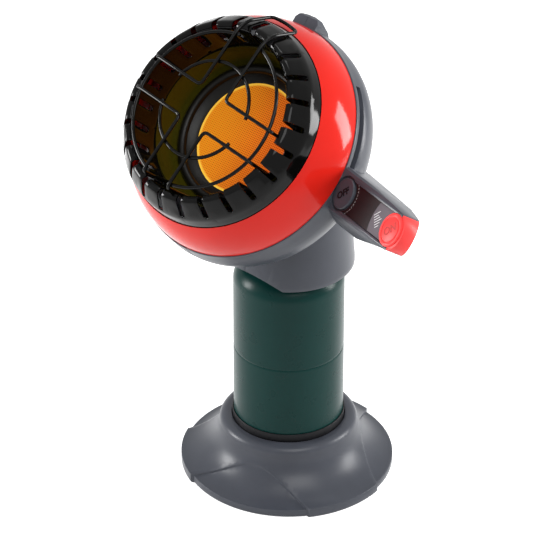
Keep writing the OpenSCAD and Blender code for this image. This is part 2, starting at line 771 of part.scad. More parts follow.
module guard_wire_top() {
    half = concat(arm_path(guard_half), over_path());
    color(c_black) head_frame() rotate([0, 0, guard_turn])
        wire(concat(half, [[0, top_end_r, top_end_h]], reversed(mirrored(half))));
}

// Wire round one lower corner of the cross, with a leg at each end.
function lower_path() =
    concat(arm_path(-guard_half), [for (i = [1, 0]) turned(arm_path(guard_half))[i]]);

module guard_wire_left() {
    color(c_black) head_frame() rotate([0, 0, guard_turn]) wire(lower_path());
}

module guard_wire_right() {
    color(c_black) head_frame() rotate([0, 0, guard_turn]) wire(mirrored(lower_path()));
}

// Two arcs of the outer ring, open inside the top and bottom arms.
module guard_outer_arcs() {
    a = asin((guard_half - ring_stop) / ring_outer_r);
    color(c_black) head_frame() rotate([0, 0, guard_turn]) translate([0, 0, guard_h])
        for (s = [0, 180]) ring_arc(ring_outer_r, wire_r, s - 90 + a, s + 90 - a);
}

// Two arcs of the inner ring, open inside the left and right arms.
module guard_inner_arcs() {
    a = asin((guard_half - ring_stop) / ring_inner_r);
    color(c_black) head_frame() rotate([0, 0, guard_turn]) translate([0, 0, guard_h])
        for (s = [90, 270]) ring_arc(ring_inner_r, wire_r, s - 90 + a, s + 90 - a);
}

// ---------- pilot, thermocouple and spark, in the lower right of the bowl ----------

pilot_angle = -28;
pilot_plate_h = 84;
function pilot_pt(r, t, h) =
    [r * cos(pilot_angle) - t * sin(pilot_angle), r * sin(pilot_angle) + t * cos(pilot_angle), h];

// Bracket that spans from the tile's rim to the reflector's wall.
module pilot_bracket() {
    color(c_steel) head_frame() difference() {
        intersection() {
            rotate([0, 0, pilot_angle]) translate([54, -12, pilot_plate_h]) cube([16, 24, 1]);
            cylinder(r = 65.6, h = 120);
        }
        for (t = [-8, 0, 8]) translate(pilot_pt(60, t, 70)) cylinder(r = 1.72, h = 20, $fn = 24);
    }
}

module pilot_tube() {
    color(c_brass) tube([head_pt(pilot_pt(60, 0, 89)), head_pt(pilot_pt(60, 0, 60)),
        [80, -37, 330], arm_pt([valve_x[0] - 10, 0, valve_mid_n + 2.5]),
        arm_pt([valve_x[0] - 0.05, 0, valve_mid_n + 2.5])], 1.4);
}

module thermocouple() {
    color(c_brass) tube([head_pt(pilot_pt(60, 8, 92)), head_pt(pilot_pt(60, 8, 60)),
        head_pt([80, 8, 52]), arm_pt([4, 12, valve_mid_n]), arm_pt([valve_x[1] + 2, 11, valve_mid_n]),
        arm_pt([valve_x[1] + 16, 8, valve_mid_n]), arm_pt([valve_x[1] + 15, 0, valve_mid_n]),
        arm_pt([valve_x[1] + 7.05, 0, valve_mid_n])], 1.2);
}

module spark_electrode() {
    color([0.9, 0.88, 0.84]) head_frame() {
        translate(pilot_pt(60, -8, 62)) cylinder(r = 1.65, h = 25, $fn = 24);
        translate(pilot_pt(60, -8, 86)) cylinder(r = 0.9, h = 6, $fn = 24);
    }
}

module ignition_lead() {
    color(c_red) tube([head_pt(pilot_pt(60, -8, 62)), head_pt(pilot_pt(60, -8, 56)),
        [82, -48, 320], arm_pt([-6, -14, valve_mid_n]), arm_pt([44, -12, valve_mid_n + 3]),
        arm_pt([button_pitch - 12, -3, bracket_n - 1.85]),
        arm_pt([button_pitch - 4, 0, bracket_n - 1.85])], 1);
}

module tilt_switch() {
    color(c_black) translate([-34, 20, reg_floor_z - 12]) difference() {
        union() {
            cylinder(r = 9, h = 22, $fn = 48);
            translate([-11, -7, -1]) cube([22, 14, 2]);
        }
    }
}

// ---------- housing ----------

function bowl_profile(t) = concat(
    [[0, front_h + 1], [t > 0 ? rim_inner_r : bowl_lip_r, front_h + 1]],
    t > 0 ? [[rim_inner_r, front_h - rim_depth]] : [[bowl_lip_r, front_h - 2]],
    oval([0, bowl_mid_h], bowl_r - t, bowl_depth - t, 0, -90, 24));

module bowl_form(t) {
    head_frame() intersection() {
        rotate_extrude(convexity = 4) polygon(bowl_profile(t));
        translate([0, 0, -60]) cylinder(r = 200, h = 60 + front_h + (t > 0 ? 1 : 0));
    }
}

// Neck: the collar round the cylinder's shoulder, tapering up into the bowl's back.
module neck_form(t) {
    z0 = collar_z - (t > 0 ? 1 : 0);
    rotate_extrude(convexity = 4) polygon([
        [0, z0], [collar_r - t, z0], [collar_r - t, collar_z + 4], [collar_r - 2.4 - t, 246],
        [collar_r - 5 - t, 284], [collar_r - 10 - t, 330], [collar_r - 19 - t, 364],
        [20, 378 - t], [0, 380 - t]]);
}

module collar_arch() {
    translate([0, 0, arch_z - arch_r]) rotate([90, 0, 0]) cylinder(r = arch_r, h = 100);
}

// Faceted tab on the top of the bowl, just behind the front ring.
tab_half = 12.5;
module tab() {
    head_frame() intersection() {
        rotate([90, 0, 90]) translate([0, 0, -tab_half]) linear_extrude(height = 2 * tab_half)
            polygon([[90, front_h - 1.4], [105, front_h - 1.4], [115, front_h - 2],
                     [117.5, front_h - 6], [117, front_h - 10], [111, front_h - 21],
                     [98, front_h - 40], [90, front_h - 40]]);
        translate([0, 0, front_h - 60]) linear_extrude(height = 70)
            polygon([[-tab_half - 1, 80], [-tab_half - 1, 110], [-9, 116.4], [0, 118.4],
                     [9, 116.4], [tab_half + 1, 110], [tab_half + 1, 80]]);
    }
}

// Shallow vents round the bowl's widest ring, behind the front ring.
vent_h = [front_h - 10, front_h - 4];
module vents() {
    head_frame() for (a = [2, 132]) rotate([0, 0, a]) translate([0, 0, vent_h[0]])
        rotate_extrude(angle = 44, convexity = 4)
            translate([bowl_lip_r - 3, 0]) square([12, vent_h[1] - vent_h[0]]);
}

// Plan of the arm, looking into its face.
function arm_low(x) = -(arm_end_r + 20 * pow(max(0, button_pitch - x) / 110, 1.1));
function arm_high(x) = arm_end_r + min(3, (button_pitch - x) * 0.06);
module arm_plan(t) {
    n = 10;
    polygon(concat(
        [for (i = [0:n]) let (x = lerp(arm_root, button_pitch, i / n)) [x, arm_low(x) + t]],
        arc([button_pitch, 0], arm_end_r - t, -80, 80, 12),
        [for (i = [n:-1:0]) let (x = lerp(arm_root, button_pitch, i / n)) [x, arm_high(x) - t]]));
}

// Section of the arm, looking along it.
module arm_section(t) {
    polygon([[-15 + t, rail_h - (t > 0 ? plate_t + rail_h : 0)], [15 - t, rail_h - (t > 0 ? plate_t + rail_h : 0)],
             [18 - t, 1.2 - t * 1.6], [19.6 - t, -1.2 - t], [19.2 - t, -10], [18 - t, -24], [16 - t, -50],
             [-31 + t, -50], [-29.5 + t, -24], [-25.5 + t, -12], [-20.5 + t, -3 - t], [-17.5 + t, 1 - t * 1.5]]);
}

// Side view of the arm: it gets deeper towards the bowl.
function arm_depth(x) = -(10 + 27 * pow((button_pitch + arm_end_r + 0.4 - x) / 100, 0.75));
module arm_side(t) {
    n = 12;
    x1 = button_pitch + arm_end_r;
    polygon(concat([[arm_root, rail_h + 1], [x1, rail_h + 1], [x1, -1]],
        [for (i = [n:-1:0]) let (x = lerp(arm_root, x1, i / n)) [x, arm_depth(x) + t]]));
}

module arm_form(t) {
    intersection() {
        translate([0, 0, -60]) linear_extrude(height = 70) arm_plan(t);
        rotate([90, 0, 90]) translate([0, 0, arm_root - 1]) linear_extrude(height = 190) arm_section(t);
        rotate([90, 0, 0]) translate([0, 0, -50]) linear_extrude(height = 100) arm_side(t);
    }
}

// Recess between the rails: a round pocket at OFF, open at the ON end.
module panel_recess(h) {
    translate([0, -panel_half, 0]) cube([button_pitch + 30, 2 * panel_half, h]);
    cylinder(r = pocket_r, h = h);
}

// Arm as moulded with the right half of the housing.
module arm_tray() {
    difference() {
        arm_form(0);
        translate([arm_end_x, -40, -60]) cube([60, 80, 90]);
        panel_recess(40);
        translate([0, 0, -plate_t - 1]) cylinder(r = off_r + hole_gap, h = 10);
        translate([button_pitch, 0, on_skirt_n - on_travel - 1.2])
            cylinder(r = on_r + hole_gap, h = 20);
    }
}

// Inside of the arm, open at the tip where the ON button closes it.
module arm_cavity() {
    arm_form(arm_wall);
}

screw_sites = [[34, 236], [-30, 240], [40, 318], [24.7, 388.8]];   // y, z
boss_r = 4.6;

module screw_bosses() {
    for (p = screw_sites) translate([0, p[0], p[1]]) rotate([0, 90, 0])
        translate([0, 0, -130]) cylinder(r = boss_r, h = 260, $fn = 32);
}

// The whole housing before it is parted into halves.
module housing_solid() {
    union() {
        difference() {
            union() {
                bowl_form(0);
                neck_form(0);
                tab();
            }
            difference() {
                union() {
                    bowl_form(shell_wall);
                    neck_form(shell_wall);
                }
                clamp_web();
                intersection() {
                    screw_bosses();
                    boss_limit();
                }
            }
            vents();
            collar_arch();
        }
    }
}

// Web that grips the inlet fitting and carries the whole head.
module clamp_web() {
    difference() {
        translate([0, 0, inlet_skirt_z + 8]) cylinder(r = collar_r, h = 3);
        cylinder(r = inlet_r + 0.03, h = 400);
    }
}

// Bosses only reach the shell, clear of the burner behind the dish.
module boss_limit() {
    difference() {
        union() {
            translate([0, 0, 200]) cylinder(r = 200, h = 250);
        }
        head_frame() translate([0, 0, 30]) cylinder(r = 62, h = 100);
    }
}

module housing_left() {
    color(c_grey) difference() {
        housing_solid();
        translate([-seam_gap / 2, -250, 0]) cube([500, 500, 600]);
        for (p = screw_sites) translate([0, p[0], p[1]]) rotate([0, -90, 0]) {
            translate([0, 0, -1]) cylinder(r = 1.9, h = 200, $fn = 24);
            translate([0, 0, 8]) cylinder(r = 3.5, h = 200, $fn = 24);
        }
    }
}

// The right half of the bowl and neck, opened where the arm grows out of it.
module right_shell() {
    difference() {
        housing_solid();
        translate([-499 + seam_gap / 2 - 1, -250, 0]) cube([500, 500, 600]);
        arm_frame() {
            arm_form(0);
            panel_recess(40);
        }
        for (p = screw_sites) translate([0, p[0], p[1]]) rotate([0, 90, 0])
            translate([0, 0, -1]) cylinder(r = 1.55, h = 14, $fn = 24);
    }
}

// The hollow arm, open into the bowl, at its back cover and at its tip.
module arm_shell() {
    difference() {
        arm_frame() arm_tray();
        bowl_form(shell_wall);
        arm_frame() {
            arm_cavity();
            cover_zone(0);
        }
    }
}

module housing_right() {
    color(c_grey) {
        right_shell();
        arm_shell();
    }
}

// The part of the arm's back that the cover replaces.
module cover_zone(gap) {
    translate([cover_x + gap, -50, -70]) cube([70 - gap, 100, cover_n - gap + 70]);
}

module arm_back_cover() {
    color(c_grey) arm_frame() intersection() {
        difference() {
            arm_form(0);
            arm_cavity();
        }
        cover_zone(0.15);
    }
}

module label_panel() {
    color([0.16, 0.14, 0.15]) arm_frame() difference() {
        linear_extrude(height = 0.5) polygon([
            [1, -panel_half + 0.3], [arm_end_x - 1, -panel_half + 0.3],
            [arm_end_x - 1, panel_half - 0.3], [1, panel_half - 0.3]]);
        translate([0, 0, -1]) cylinder(r = off_r + 1.2, h = 4);
        translate([button_pitch, 0, -1]) cylinder(r = on_r + 0.9, h = 4);
    }
}

// ---------- controls in the arm ----------

module control_bracket() {
    color(c_steel) arm_frame() difference() {
        translate([-9, -bracket_half, bracket_n])
            cube([button_pitch + 16, 2 * bracket_half, bracket_t]);
        translate([button_pitch, 0, bracket_n - 1]) cylinder(r = 5.05, h = 4, $fn = 32);
        for (x = [on_pin_x, off_pin_x]) translate([x, 0, bracket_n - 1])
            cylinder(r = 2.4, h = 4, $fn = 32);
    }
}

module piezo_igniter() {
    color(c_black) arm_frame() translate([button_pitch, 0, bracket_n - 0.8]) {
        cylinder(r = 5, h = 7.6, $fn = 32);
        translate([0, 0, 0.8 + bracket_t]) cylinder(r = 6.2, h = 1, $fn = 32);
    }
}

// Red cap: a round face with a ring groove, and an end that wraps over the arm's tip.
module on_button() {
    color(c_red) arm_frame() difference() {
        union() {
            translate([button_pitch, 0, on_skirt_n]) cylinder(r = on_r, h = on_top_n - on_skirt_n - 0.8);
            translate([button_pitch, 0, on_top_n - 0.8 - e]) cylinder(r1 = on_r, r2 = on_r - 0.8, h = 0.8);
            intersection() {
                arm_form(0);
                translate([arm_end_x + face_gap, -40, -60]) cube([60, 80, 61.8]);
            }
            translate([button_pitch - on_r - 1.1, -7, -plate_t - face_gap - flange_t])
                cube([5, 14, flange_t]);
        }
        translate([button_pitch, 0, on_skirt_n - 1])
            cylinder(r = on_r - 1.8, h = on_top_n - on_skirt_n - 1.4);
        intersection() {
            arm_form(arm_wall);
            translate([arm_end_x - 20, -40, -60]) cube([80, 80, 60 + on_skirt_n]);
        }
        translate([button_pitch, 0, on_top_n - 0.5]) difference() {
            cylinder(r = on_r - 3, h = 2);
            translate([0, 0, -1]) cylinder(r = on_r - 4, h = 4);
        }
    }
}

// Bar that carries the ON button's push back to the valve.
module on_push_bar() {
    color(c_steel) arm_frame() {
        translate([on_pin_x - 3, -3, bar_n]) cube([button_pitch - on_r - 1.1 - on_pin_x + 3, 6, 1.4]);
        translate([on_pin_x, 0, valve_n[1] + 2.5])
            cylinder(r = 1.9, h = bar_n - valve_n[1] - 2.5 + e, $fn = 32);
    }
}

module on_spring() {
    color(c_steel) arm_frame() translate([button_pitch, 0, bracket_n + bracket_t])
        coil(7.6, 0.55, on_top_n - 2.4 - bracket_n - bracket_t, 5);
}

module off_button() {
    color(c_grey) arm_frame() difference() {
        union() {
            translate([0, 0, off_skirt_n]) cylinder(r = off_r, h = off_top_n - off_skirt_n - 0.8);
            translate([0, 0, off_top_n - 0.8 - e]) cylinder(r1 = off_r, r2 = off_r - 0.8, h = 0.8);
            translate([0, 0, -plate_t - face_gap - flange_t]) cylinder(r = off_r + 1.1, h = flange_t);
        }
        translate([0, 0, off_skirt_n - 1]) cylinder(r = off_r - 1.8, h = off_top_n - off_skirt_n - 1.4);
    }
}

module off_push_bar() {
    color(c_steel) arm_frame() {
        translate([off_r + 1.1, -3, bar_n]) cube([off_pin_x - off_r + 1.9, 6, 1.4]);
        translate([off_pin_x, 0, valve_n[1] + 2.5])
            cylinder(r = 1.9, h = bar_n - valve_n[1] - 2.5 + e, $fn = 32);
    }
}

module off_spring() {
    color(c_steel) arm_frame() translate([0, 0, bracket_n + bracket_t])
        coil(8.5, 0.55, off_top_n - 2.4 - bracket_n - bracket_t, 5);
}

module housing_screws() {
    color(c_steel) for (p = screw_sites) translate([0, p[0], p[1]]) rotate([0, -90, 0]) {
        translate([0, 0, -11]) cylinder(r = 1.5, h = 19 + e, $fn = 24);
        translate([0, 0, 8]) cylinder(r = 3.2, h = 2.4, $fn = 24);
    }
}

base_foot();
cylinder_boot();
cylinder_lower_shell();
cylinder_upper_shell();
cylinder_neck();
cylinder_valve();
cylinder_relief_valve();
inlet_seal();
inlet_fitting();
regulator_body();
regulator_diaphragm();
regulator_spring();
regulator_cap();
gas_supply_tube();
valve_body();
valve_magnet();
jet_feed_tube();
jet_holder();
burner_jet();
venturi_tube();
burner_cup();
tile_gasket();
ceramic_tile();
tile_retainer();
reflector();
slotted_dish();
front_ring();
heat_shield();
guard_wire_top();
guard_wire_left();
guard_wire_right();
guard_outer_arcs();
guard_inner_arcs();
pilot_bracket();
pilot_tube();
thermocouple();
spark_electrode();
ignition_lead();
housing_left();
housing_right();
arm_back_cover();
label_panel();
control_bracket();
piezo_igniter();
on_button();
on_push_bar();
on_spring();
off_button();
off_push_bar();
off_spring();
tilt_switch();
housing_screws();
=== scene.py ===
"""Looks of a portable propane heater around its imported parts.

The object stands on its foot at the origin, +Z up, with the burner facing -Y
and the control arm reaching to +X. Sizes are metres; the helper MM turns
millimetres into metres where a drawing size is easier to read.
"""

from __future__ import annotations

import json
import logging
import math
from dataclasses import dataclass
from enum import Enum
from typing import Sequence

import bmesh
import bpy
import numpy as np
from mathutils import Matrix, Vector

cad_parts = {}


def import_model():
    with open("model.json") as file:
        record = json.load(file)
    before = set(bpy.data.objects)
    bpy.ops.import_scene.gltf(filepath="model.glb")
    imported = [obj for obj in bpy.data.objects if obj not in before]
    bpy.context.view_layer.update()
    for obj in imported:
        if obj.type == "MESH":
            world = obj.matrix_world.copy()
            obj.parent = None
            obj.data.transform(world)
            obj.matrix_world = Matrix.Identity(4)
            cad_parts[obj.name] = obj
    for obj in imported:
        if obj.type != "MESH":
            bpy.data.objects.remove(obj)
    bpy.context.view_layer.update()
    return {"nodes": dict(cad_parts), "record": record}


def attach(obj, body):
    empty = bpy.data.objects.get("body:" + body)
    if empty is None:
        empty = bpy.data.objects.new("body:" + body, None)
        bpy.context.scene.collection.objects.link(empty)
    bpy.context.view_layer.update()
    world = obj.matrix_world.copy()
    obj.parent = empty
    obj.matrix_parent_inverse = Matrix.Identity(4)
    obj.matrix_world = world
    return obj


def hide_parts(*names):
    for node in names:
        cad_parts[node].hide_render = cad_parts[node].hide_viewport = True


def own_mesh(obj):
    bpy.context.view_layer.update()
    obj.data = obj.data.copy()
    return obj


LOG = logging.getLogger("heater")
MM = 0.001

MERGE_DISTANCE = 0.004 * MM  # corners of a part node's loose triangles closer than this are one
FLAT_TURN = math.radians(0.4)  # faces of a part node that turn less than this are one flat face

Array = np.ndarray
Colour = tuple[float, float, float]
Nodes = dict[str, bpy.types.Object]


# --------------------------------------------------------------------------
# Frames: where the tilted head and its control arm are
# --------------------------------------------------------------------------


@dataclass(frozen=True)
class Axes:
    """A right-handed frame given by its origin and three unit axes."""

    origin: tuple[float, float, float]
    across: tuple[float, float, float]
    up: tuple[float, float, float]
    out: tuple[float, float, float]

    def matrix(self) -> Array:
        """Columns are the frame's across, up and out axes."""
        return np.array([self.across, self.up, self.out], float).T

    def place(self, points: Array) -> Array:
        """Move points from this frame into the object's frame.

        Args:
            points: Array whose last axis holds across, up and out in metres.

        Returns:
            The same points in the object's frame.
        """
        return points @ self.matrix().T + np.array(self.origin)


@dataclass(frozen=True)
class HeadPose:
    """Where the burner head points, from its tilt and the axes' crossing."""

    tilt: float = math.radians(43.5)
    cross_z: float = 304.7 * MM

    def axes(self) -> Axes:
        """The head's frame: out runs along the burner's axis."""
        c, s = math.cos(self.tilt), math.sin(self.tilt)
        return Axes((0.0, 0.0, self.cross_z), (1.0, 0.0, 0.0), (0.0, s, c), (0.0, -c, s))


@dataclass(frozen=True)
class ArmPose:
    """Where the control arm's face lies in the head's frame."""

    across: float = 118.2 * MM
    up: float = -9.6 * MM
    out: float = 79.0 * MM
    sweep: float = math.radians(20.3)
    droop: float = math.radians(9.6)
    roll: float = math.radians(6.9)

    def axes(self, head: Axes) -> Axes:
        """The arm's frame: across runs along the arm, out leaves its face.

        Args:
            head: The burner head's frame.

        Returns:
            The arm's frame, with its origin in the middle of the OFF button.
        """
        turn = (
            Matrix.Rotation(-self.sweep, 3, "Y")
            @ Matrix.Rotation(-self.droop, 3, "Z")
            @ Matrix.Rotation(self.roll, 3, "X")
        )
        basis = head.matrix() @ np.array(turn)
        origin = head.place(np.array([self.across, self.up, self.out]))
        return Axes(tuple(origin), tuple(basis[:, 0]), tuple(basis[:, 1]), tuple(basis[:, 2]))


STAND = Axes((0.0, 0.0, 0.0), (1.0, 0.0, 0.0), (0.0, 1.0, 0.0), (0.0, 0.0, 1.0))
HEAD = HeadPose().axes()
ARM = ArmPose().axes(HEAD)


class Body(Enum):
    """The moving bodies that pieces ride on."""

    FOOT = "foot"
    CYLINDER = "cylinder"
    HEAD = "head"
    ON = "on_control"
    OFF = "off_control"


# --------------------------------------------------------------------------
# Finishes
# --------------------------------------------------------------------------


def blend(tree: bpy.types.NodeTree, factor: bpy.types.NodeSocket,
          first: Colour | bpy.types.NodeSocket,
          second: Colour | bpy.types.NodeSocket) -> bpy.types.NodeSocket:
    """A colour between two others.

    Args:
        tree: The material's nodes.
        factor: Share of the second colour.
        first: Colour where the share is 0.
        second: Colour where the share is 1.

    Returns:
        The blended colour.
    """
    mix = tree.nodes.new("ShaderNodeMix")
    mix.data_type = "RGBA"
    tree.links.new(factor, mix.inputs["Factor"])
    for end, colour in (("A", first), ("B", second)):
        if isinstance(colour, tuple):
            mix.inputs[end].default_value = (*colour, 1.0)
        else:
            tree.links.new(colour, mix.inputs[end])
    return mix.outputs["Result"]


def ramp(tree: bpy.types.NodeTree, value: bpy.types.NodeSocket, start: float, end: float,
         smooth: bool = False) -> bpy.types.NodeSocket:
    """A share that rises from 0 to 1 while a value goes from start to end.

    Args:
        tree: The material's nodes.
        value: The value to follow.
        start: Where the share is 0.
        end: Where the share is 1.
        smooth: Whether it eases in and out.

    Returns:
        The share.
    """
    node = tree.nodes.new("ShaderNodeMapRange")
    node.interpolation_type = "SMOOTHSTEP" if smooth else "LINEAR"
    node.inputs["From Min"].default_value = start
    node.inputs["From Max"].default_value = end
    tree.links.new(value, node.inputs["Value"])
    return node.outputs["Result"]


def vector_math(tree: bpy.types.NodeTree, operation: str, vector: bpy.types.NodeSocket,
                other: tuple[float, float, float] = (0.0, 0.0, 0.0)) -> bpy.types.Node:
    """A node that works on one vector and a fixed second one.

    Args:
        tree: The material's nodes.
        operation: Blender's name of what it does.
        vector: The first vector.
        other: The second vector.

    Returns:
        The node.
    """
    node = tree.nodes.new("ShaderNodeVectorMath")
    node.operation = operation
    node.inputs[1].default_value = other
    tree.links.new(vector, node.inputs[0])
    return node


@dataclass(frozen=True)
class Finish:
    """A plain surface finish: one colour, with an optional fine grain.

    Attributes:
        slot: The record's material slot that this finish belongs to.
        colour: Linear base colour.
        roughness: 0 is a mirror, 1 is chalk.
        metallic: 1 for bare metal.
        specular: Strength of the plain reflection, 0.5 for ordinary plastic.
        grain_size: Size of the moulded or painted grain, in metres.
        grain_depth: Strength of that grain's bump, from 0 to 1.
        look: The material's own name, where a slot has more than one look.
        mottle: Share by which colour and roughness vary over the surface.
        mottle_size: Size of those soft patches, in metres.
    """

    slot: str
    colour: Colour
    roughness: float = 0.5
    metallic: float = 0.0
    specular: float = 0.5
    grain_size: float = 0.0
    grain_depth: float = 0.0
    look: str = ""
    mottle: float = 0.10
    mottle_size: float = 14.0 * MM

    def build(self) -> bpy.types.Material:
        """Make the material, unless this look already has one.

        Returns:
            The material of this look.
        """
        name = self.look or self.slot
        found = bpy.data.materials.get(name)
        if found is not None and found.get("made_here"):
            return found
        material = bpy.data.materials.new(name)
        material["made_here"] = True
        material.use_nodes = True
        shader = material.node_tree.nodes["Principled BSDF"]
        shader.inputs["Base Color"].default_value = (*self.colour, 1.0)
        shader.inputs["Roughness"].default_value = self.roughness
        shader.inputs["Metallic"].default_value = self.metallic
        shader.inputs["Specular IOR Level"].default_value = self.specular
        self.add_mottle(material, shader)
        if self.grain_depth > 0:
            self.add_grain(material, shader)
        self.decorate(material, shader)
        return material

    def add_mottle(self, material: bpy.types.Material, shader: bpy.types.Node) -> None:
        """Vary colour and roughness a little in soft patches on Object coordinates.

        Args:
            material: The material being made.
            shader: Its Principled shader.
        """
        tree = material.node_tree
        where = tree.nodes.new("ShaderNodeTexCoord")
        patches = tree.nodes.new("ShaderNodeTexNoise")
        patches.inputs["Scale"].default_value = 1.0 / self.mottle_size
        patches.inputs["Detail"].default_value = 4.0
        tree.links.new(where.outputs["Object"], patches.inputs["Vector"])
        low, high = 1.0 - self.mottle, 1.0 + self.mottle
        darker = tuple(value * low for value in self.colour)
        lighter = tuple(min(1.0, value * high) for value in self.colour)
        tint = blend(tree, patches.outputs["Fac"], darker, lighter)
        tree.links.new(tint, shader.inputs["Base Color"])
        rough = tree.nodes.new("ShaderNodeMapRange")
        rough.inputs["To Min"].default_value = self.roughness * low
        rough.inputs["To Max"].default_value = min(1.0, self.roughness * high)
        tree.links.new(patches.outputs["Fac"], rough.inputs["Value"])
        tree.links.new(rough.outputs["Result"], shader.inputs["Roughness"])

    def add_grain(self, material: bpy.types.Material, shader: bpy.types.Node) -> None:
        """Bump the surface with fine noise on Object coordinates.

        Args:
            material: The material being made.
            shader: Its Principled shader.
        """
        tree = material.node_tree
        where = tree.nodes.new("ShaderNodeTexCoord")
        noise = tree.nodes.new("ShaderNodeTexNoise")
        noise.inputs["Scale"].default_value = 1.0 / self.grain_size
        noise.inputs["Detail"].default_value = 2.0
        bump = tree.nodes.new("ShaderNodeBump")
        bump.inputs["Strength"].default_value = self.grain_depth
        bump.inputs["Distance"].default_value = self.grain_size * 0.2
        tree.links.new(where.outputs["Object"], noise.inputs["Vector"])
        tree.links.new(noise.outputs["Fac"], bump.inputs["Height"])
        tree.links.new(bump.outputs["Normal"], shader.inputs["Normal"])

    def decorate(self, material: bpy.types.Material, shader: bpy.types.Node) -> None:
        """Nothing more on a plain finish."""


def head_coordinates(tree: bpy.types.NodeTree, axes: Axes) -> bpy.types.NodeSocket:
    """Object coordinates turned into a frame's across, up and out.

    Args:
        tree: The material's nodes.
        axes: The frame to turn into.

    Returns:
        A vector output in metres in that frame.
    """
    where = tree.nodes.new("ShaderNodeTexCoord")
    mapping = tree.nodes.new("ShaderNodeMapping")
    mapping.vector_type = "TEXTURE"
    mapping.inputs["Location"].default_value = axes.origin
    mapping.inputs["Rotation"].default_value = Matrix(axes.matrix().tolist()).to_euler()
    tree.links.new(where.outputs["Object"], mapping.inputs["Vector"])
    return mapping.outputs["Vector"]


@dataclass(frozen=True)
class GlowingTile(Finish):
    """The burner's ceramic face: orange glow with rows of fine flame holes.

    The holes are a square grid of darker dots. The glow turns from yellow to a
    deeper orange across the face, and a thin band at its edge is the brightest.
    """

    pitch: float = 1.75 * MM
    hole: float = 0.56 * MM
    softness: float = 0.12
    hot_glow: Colour = (0.86, 0.315, 0.014)
    hot_dark: Colour = (0.46, 0.062, 0.004)
    cool_glow: Colour = (0.66, 0.120, 0.010)
    cool_dark: Colour = (0.34, 0.032, 0.004)
    spread: float = 40.0 * MM
    rim: Colour = (1.0, 0.56, 0.060)
    rim_radius: float = 46.6 * MM
    rim_width: float = 1.8 * MM
    strength: float = 0.50

    def decorate(self, material: bpy.types.Material, shader: bpy.types.Node) -> None:
        """Colour and light the tile by its distance to the nearest hole.

        Args:
            material: The material being made.
            shader: Its Principled shader.
        """
        tree = material.node_tree
        place = head_coordinates(tree, HEAD)
        scaled = vector_math(tree, "MULTIPLY", place, (1.0 / self.pitch,) * 3)
        cell = vector_math(tree, "FRACTION", scaled.outputs["Vector"])
        centred = vector_math(tree, "SUBTRACT", cell.outputs["Vector"], (0.5, 0.5, 0.0))
        distance = self.off_axis(tree, centred.outputs["Vector"])
        size = self.hole / self.pitch
        between = ramp(tree, distance, size - self.softness, size + self.softness)
        dark = self.across(tree, place, self.hot_dark, self.cool_dark)
        glow = self.across(tree, place, self.hot_glow, self.cool_glow)
        rim_end = self.rim_radius + self.rim_width
        edge = ramp(tree, self.off_axis(tree, place), self.rim_radius, rim_end)
        bright = blend(tree, edge, blend(tree, between, dark, glow), self.rim)
        tree.links.new(bright, shader.inputs["Base Color"])
        tree.links.new(bright, shader.inputs["Emission Color"])
        shader.inputs["Emission Strength"].default_value = self.strength

    def across(self, tree: bpy.types.NodeTree, place: bpy.types.NodeSocket, hot: Colour,
               cool: Colour) -> bpy.types.NodeSocket:
        """A colour that goes from hot to cool along the head's across axis.

        Args:
            tree: The material's nodes.
            place: Coordinates in the head's frame.
            hot: Colour at one side.
            cool: Colour at the other side.

        Returns:
            The colour at each place.
        """
        parts = tree.nodes.new("ShaderNodeSeparateXYZ")
        tree.links.new(place, parts.inputs["Vector"])
        share = ramp(tree, parts.outputs["X"], -self.spread, self.spread, smooth=True)
        return blend(tree, share, hot, cool)

    @staticmethod
    def off_axis(tree: bpy.types.NodeTree, vector: bpy.types.NodeSocket) -> bpy.types.NodeSocket:
        """Length of a vector's across and up parts."""
        flat = vector_math(tree, "MULTIPLY", vector, (1.0, 1.0, 0.0))
        return vector_math(tree, "LENGTH", flat.outputs["Vector"]).outputs["Value"]


GREY_PLASTIC = Finish("grey_plastic", (0.046, 0.050, 0.062), 0.34, specular=0.24,
                      grain_size=0.4 * MM, grain_depth=0.06)
BLACK_PLASTIC = Finish("black_plastic", (0.006, 0.006, 0.007), 0.4, specular=0.15)
GREEN_PAINT = Finish("green_paint", (0.0014, 0.0250, 0.0220), 0.28, specular=0.11,
                     grain_size=0.8 * MM, grain_depth=0.12)
STEEL = Finish("steel", (0.55, 0.56, 0.58), 0.3, metallic=1.0)
SPRING_STEEL = Finish("spring_steel", (0.5, 0.51, 0.53), 0.25, metallic=1.0)
BRASS = Finish("brass", (0.65, 0.43, 0.16), 0.3, metallic=1.0)
BLACK_RUBBER = Finish("black_rubber", (0.02, 0.02, 0.02), 0.7)
WHITE_CERAMIC = Finish("white_ceramic", (0.75, 0.73, 0.68), 0.35)
GASKET_FIBRE = Finish("gasket_fibre", (0.65, 0.60, 0.50), 0.9)
TILE = GlowingTile("burner_ceramic", (1.0, 0.3, 0.02), 0.8, specular=0.05)
BURNER_BLACK = Finish("burner_black", (0.0030, 0.0026, 0.0018), 0.38, specular=0.2)
GOLD_REFLECTOR = Finish("gold_reflector", (0.050, 0.044, 0.0020), 0.32, metallic=0.2,
                        specular=0.15)
BLACK_ENAMEL = Finish("black_enamel", (0.0016, 0.0015, 0.0014), 0.09, specular=0.13)
RED_PAINT = Finish("red_paint", (0.58, 0.014, 0.008), 0.11, specular=0.15, mottle=0.04)
RED_PLASTIC = Finish("red_plastic", (0.80, 0.052, 0.050), 0.38, specular=0.15)
RED_RUBBER = Finish("red_rubber", (0.4, 0.02, 0.015), 0.5)
LABEL_FILM = Finish("label_film", (0.009, 0.008, 0.009), 0.35, specular=0.15)
LABEL_TINT = Finish("label_film", (0.085, 0.074, 0.088), 0.45, specular=0.2, look="label_tint")
LABEL_INK = Finish("label_film", (0.60, 0.60, 0.60), 0.5, specular=0.2, look="label_ink")
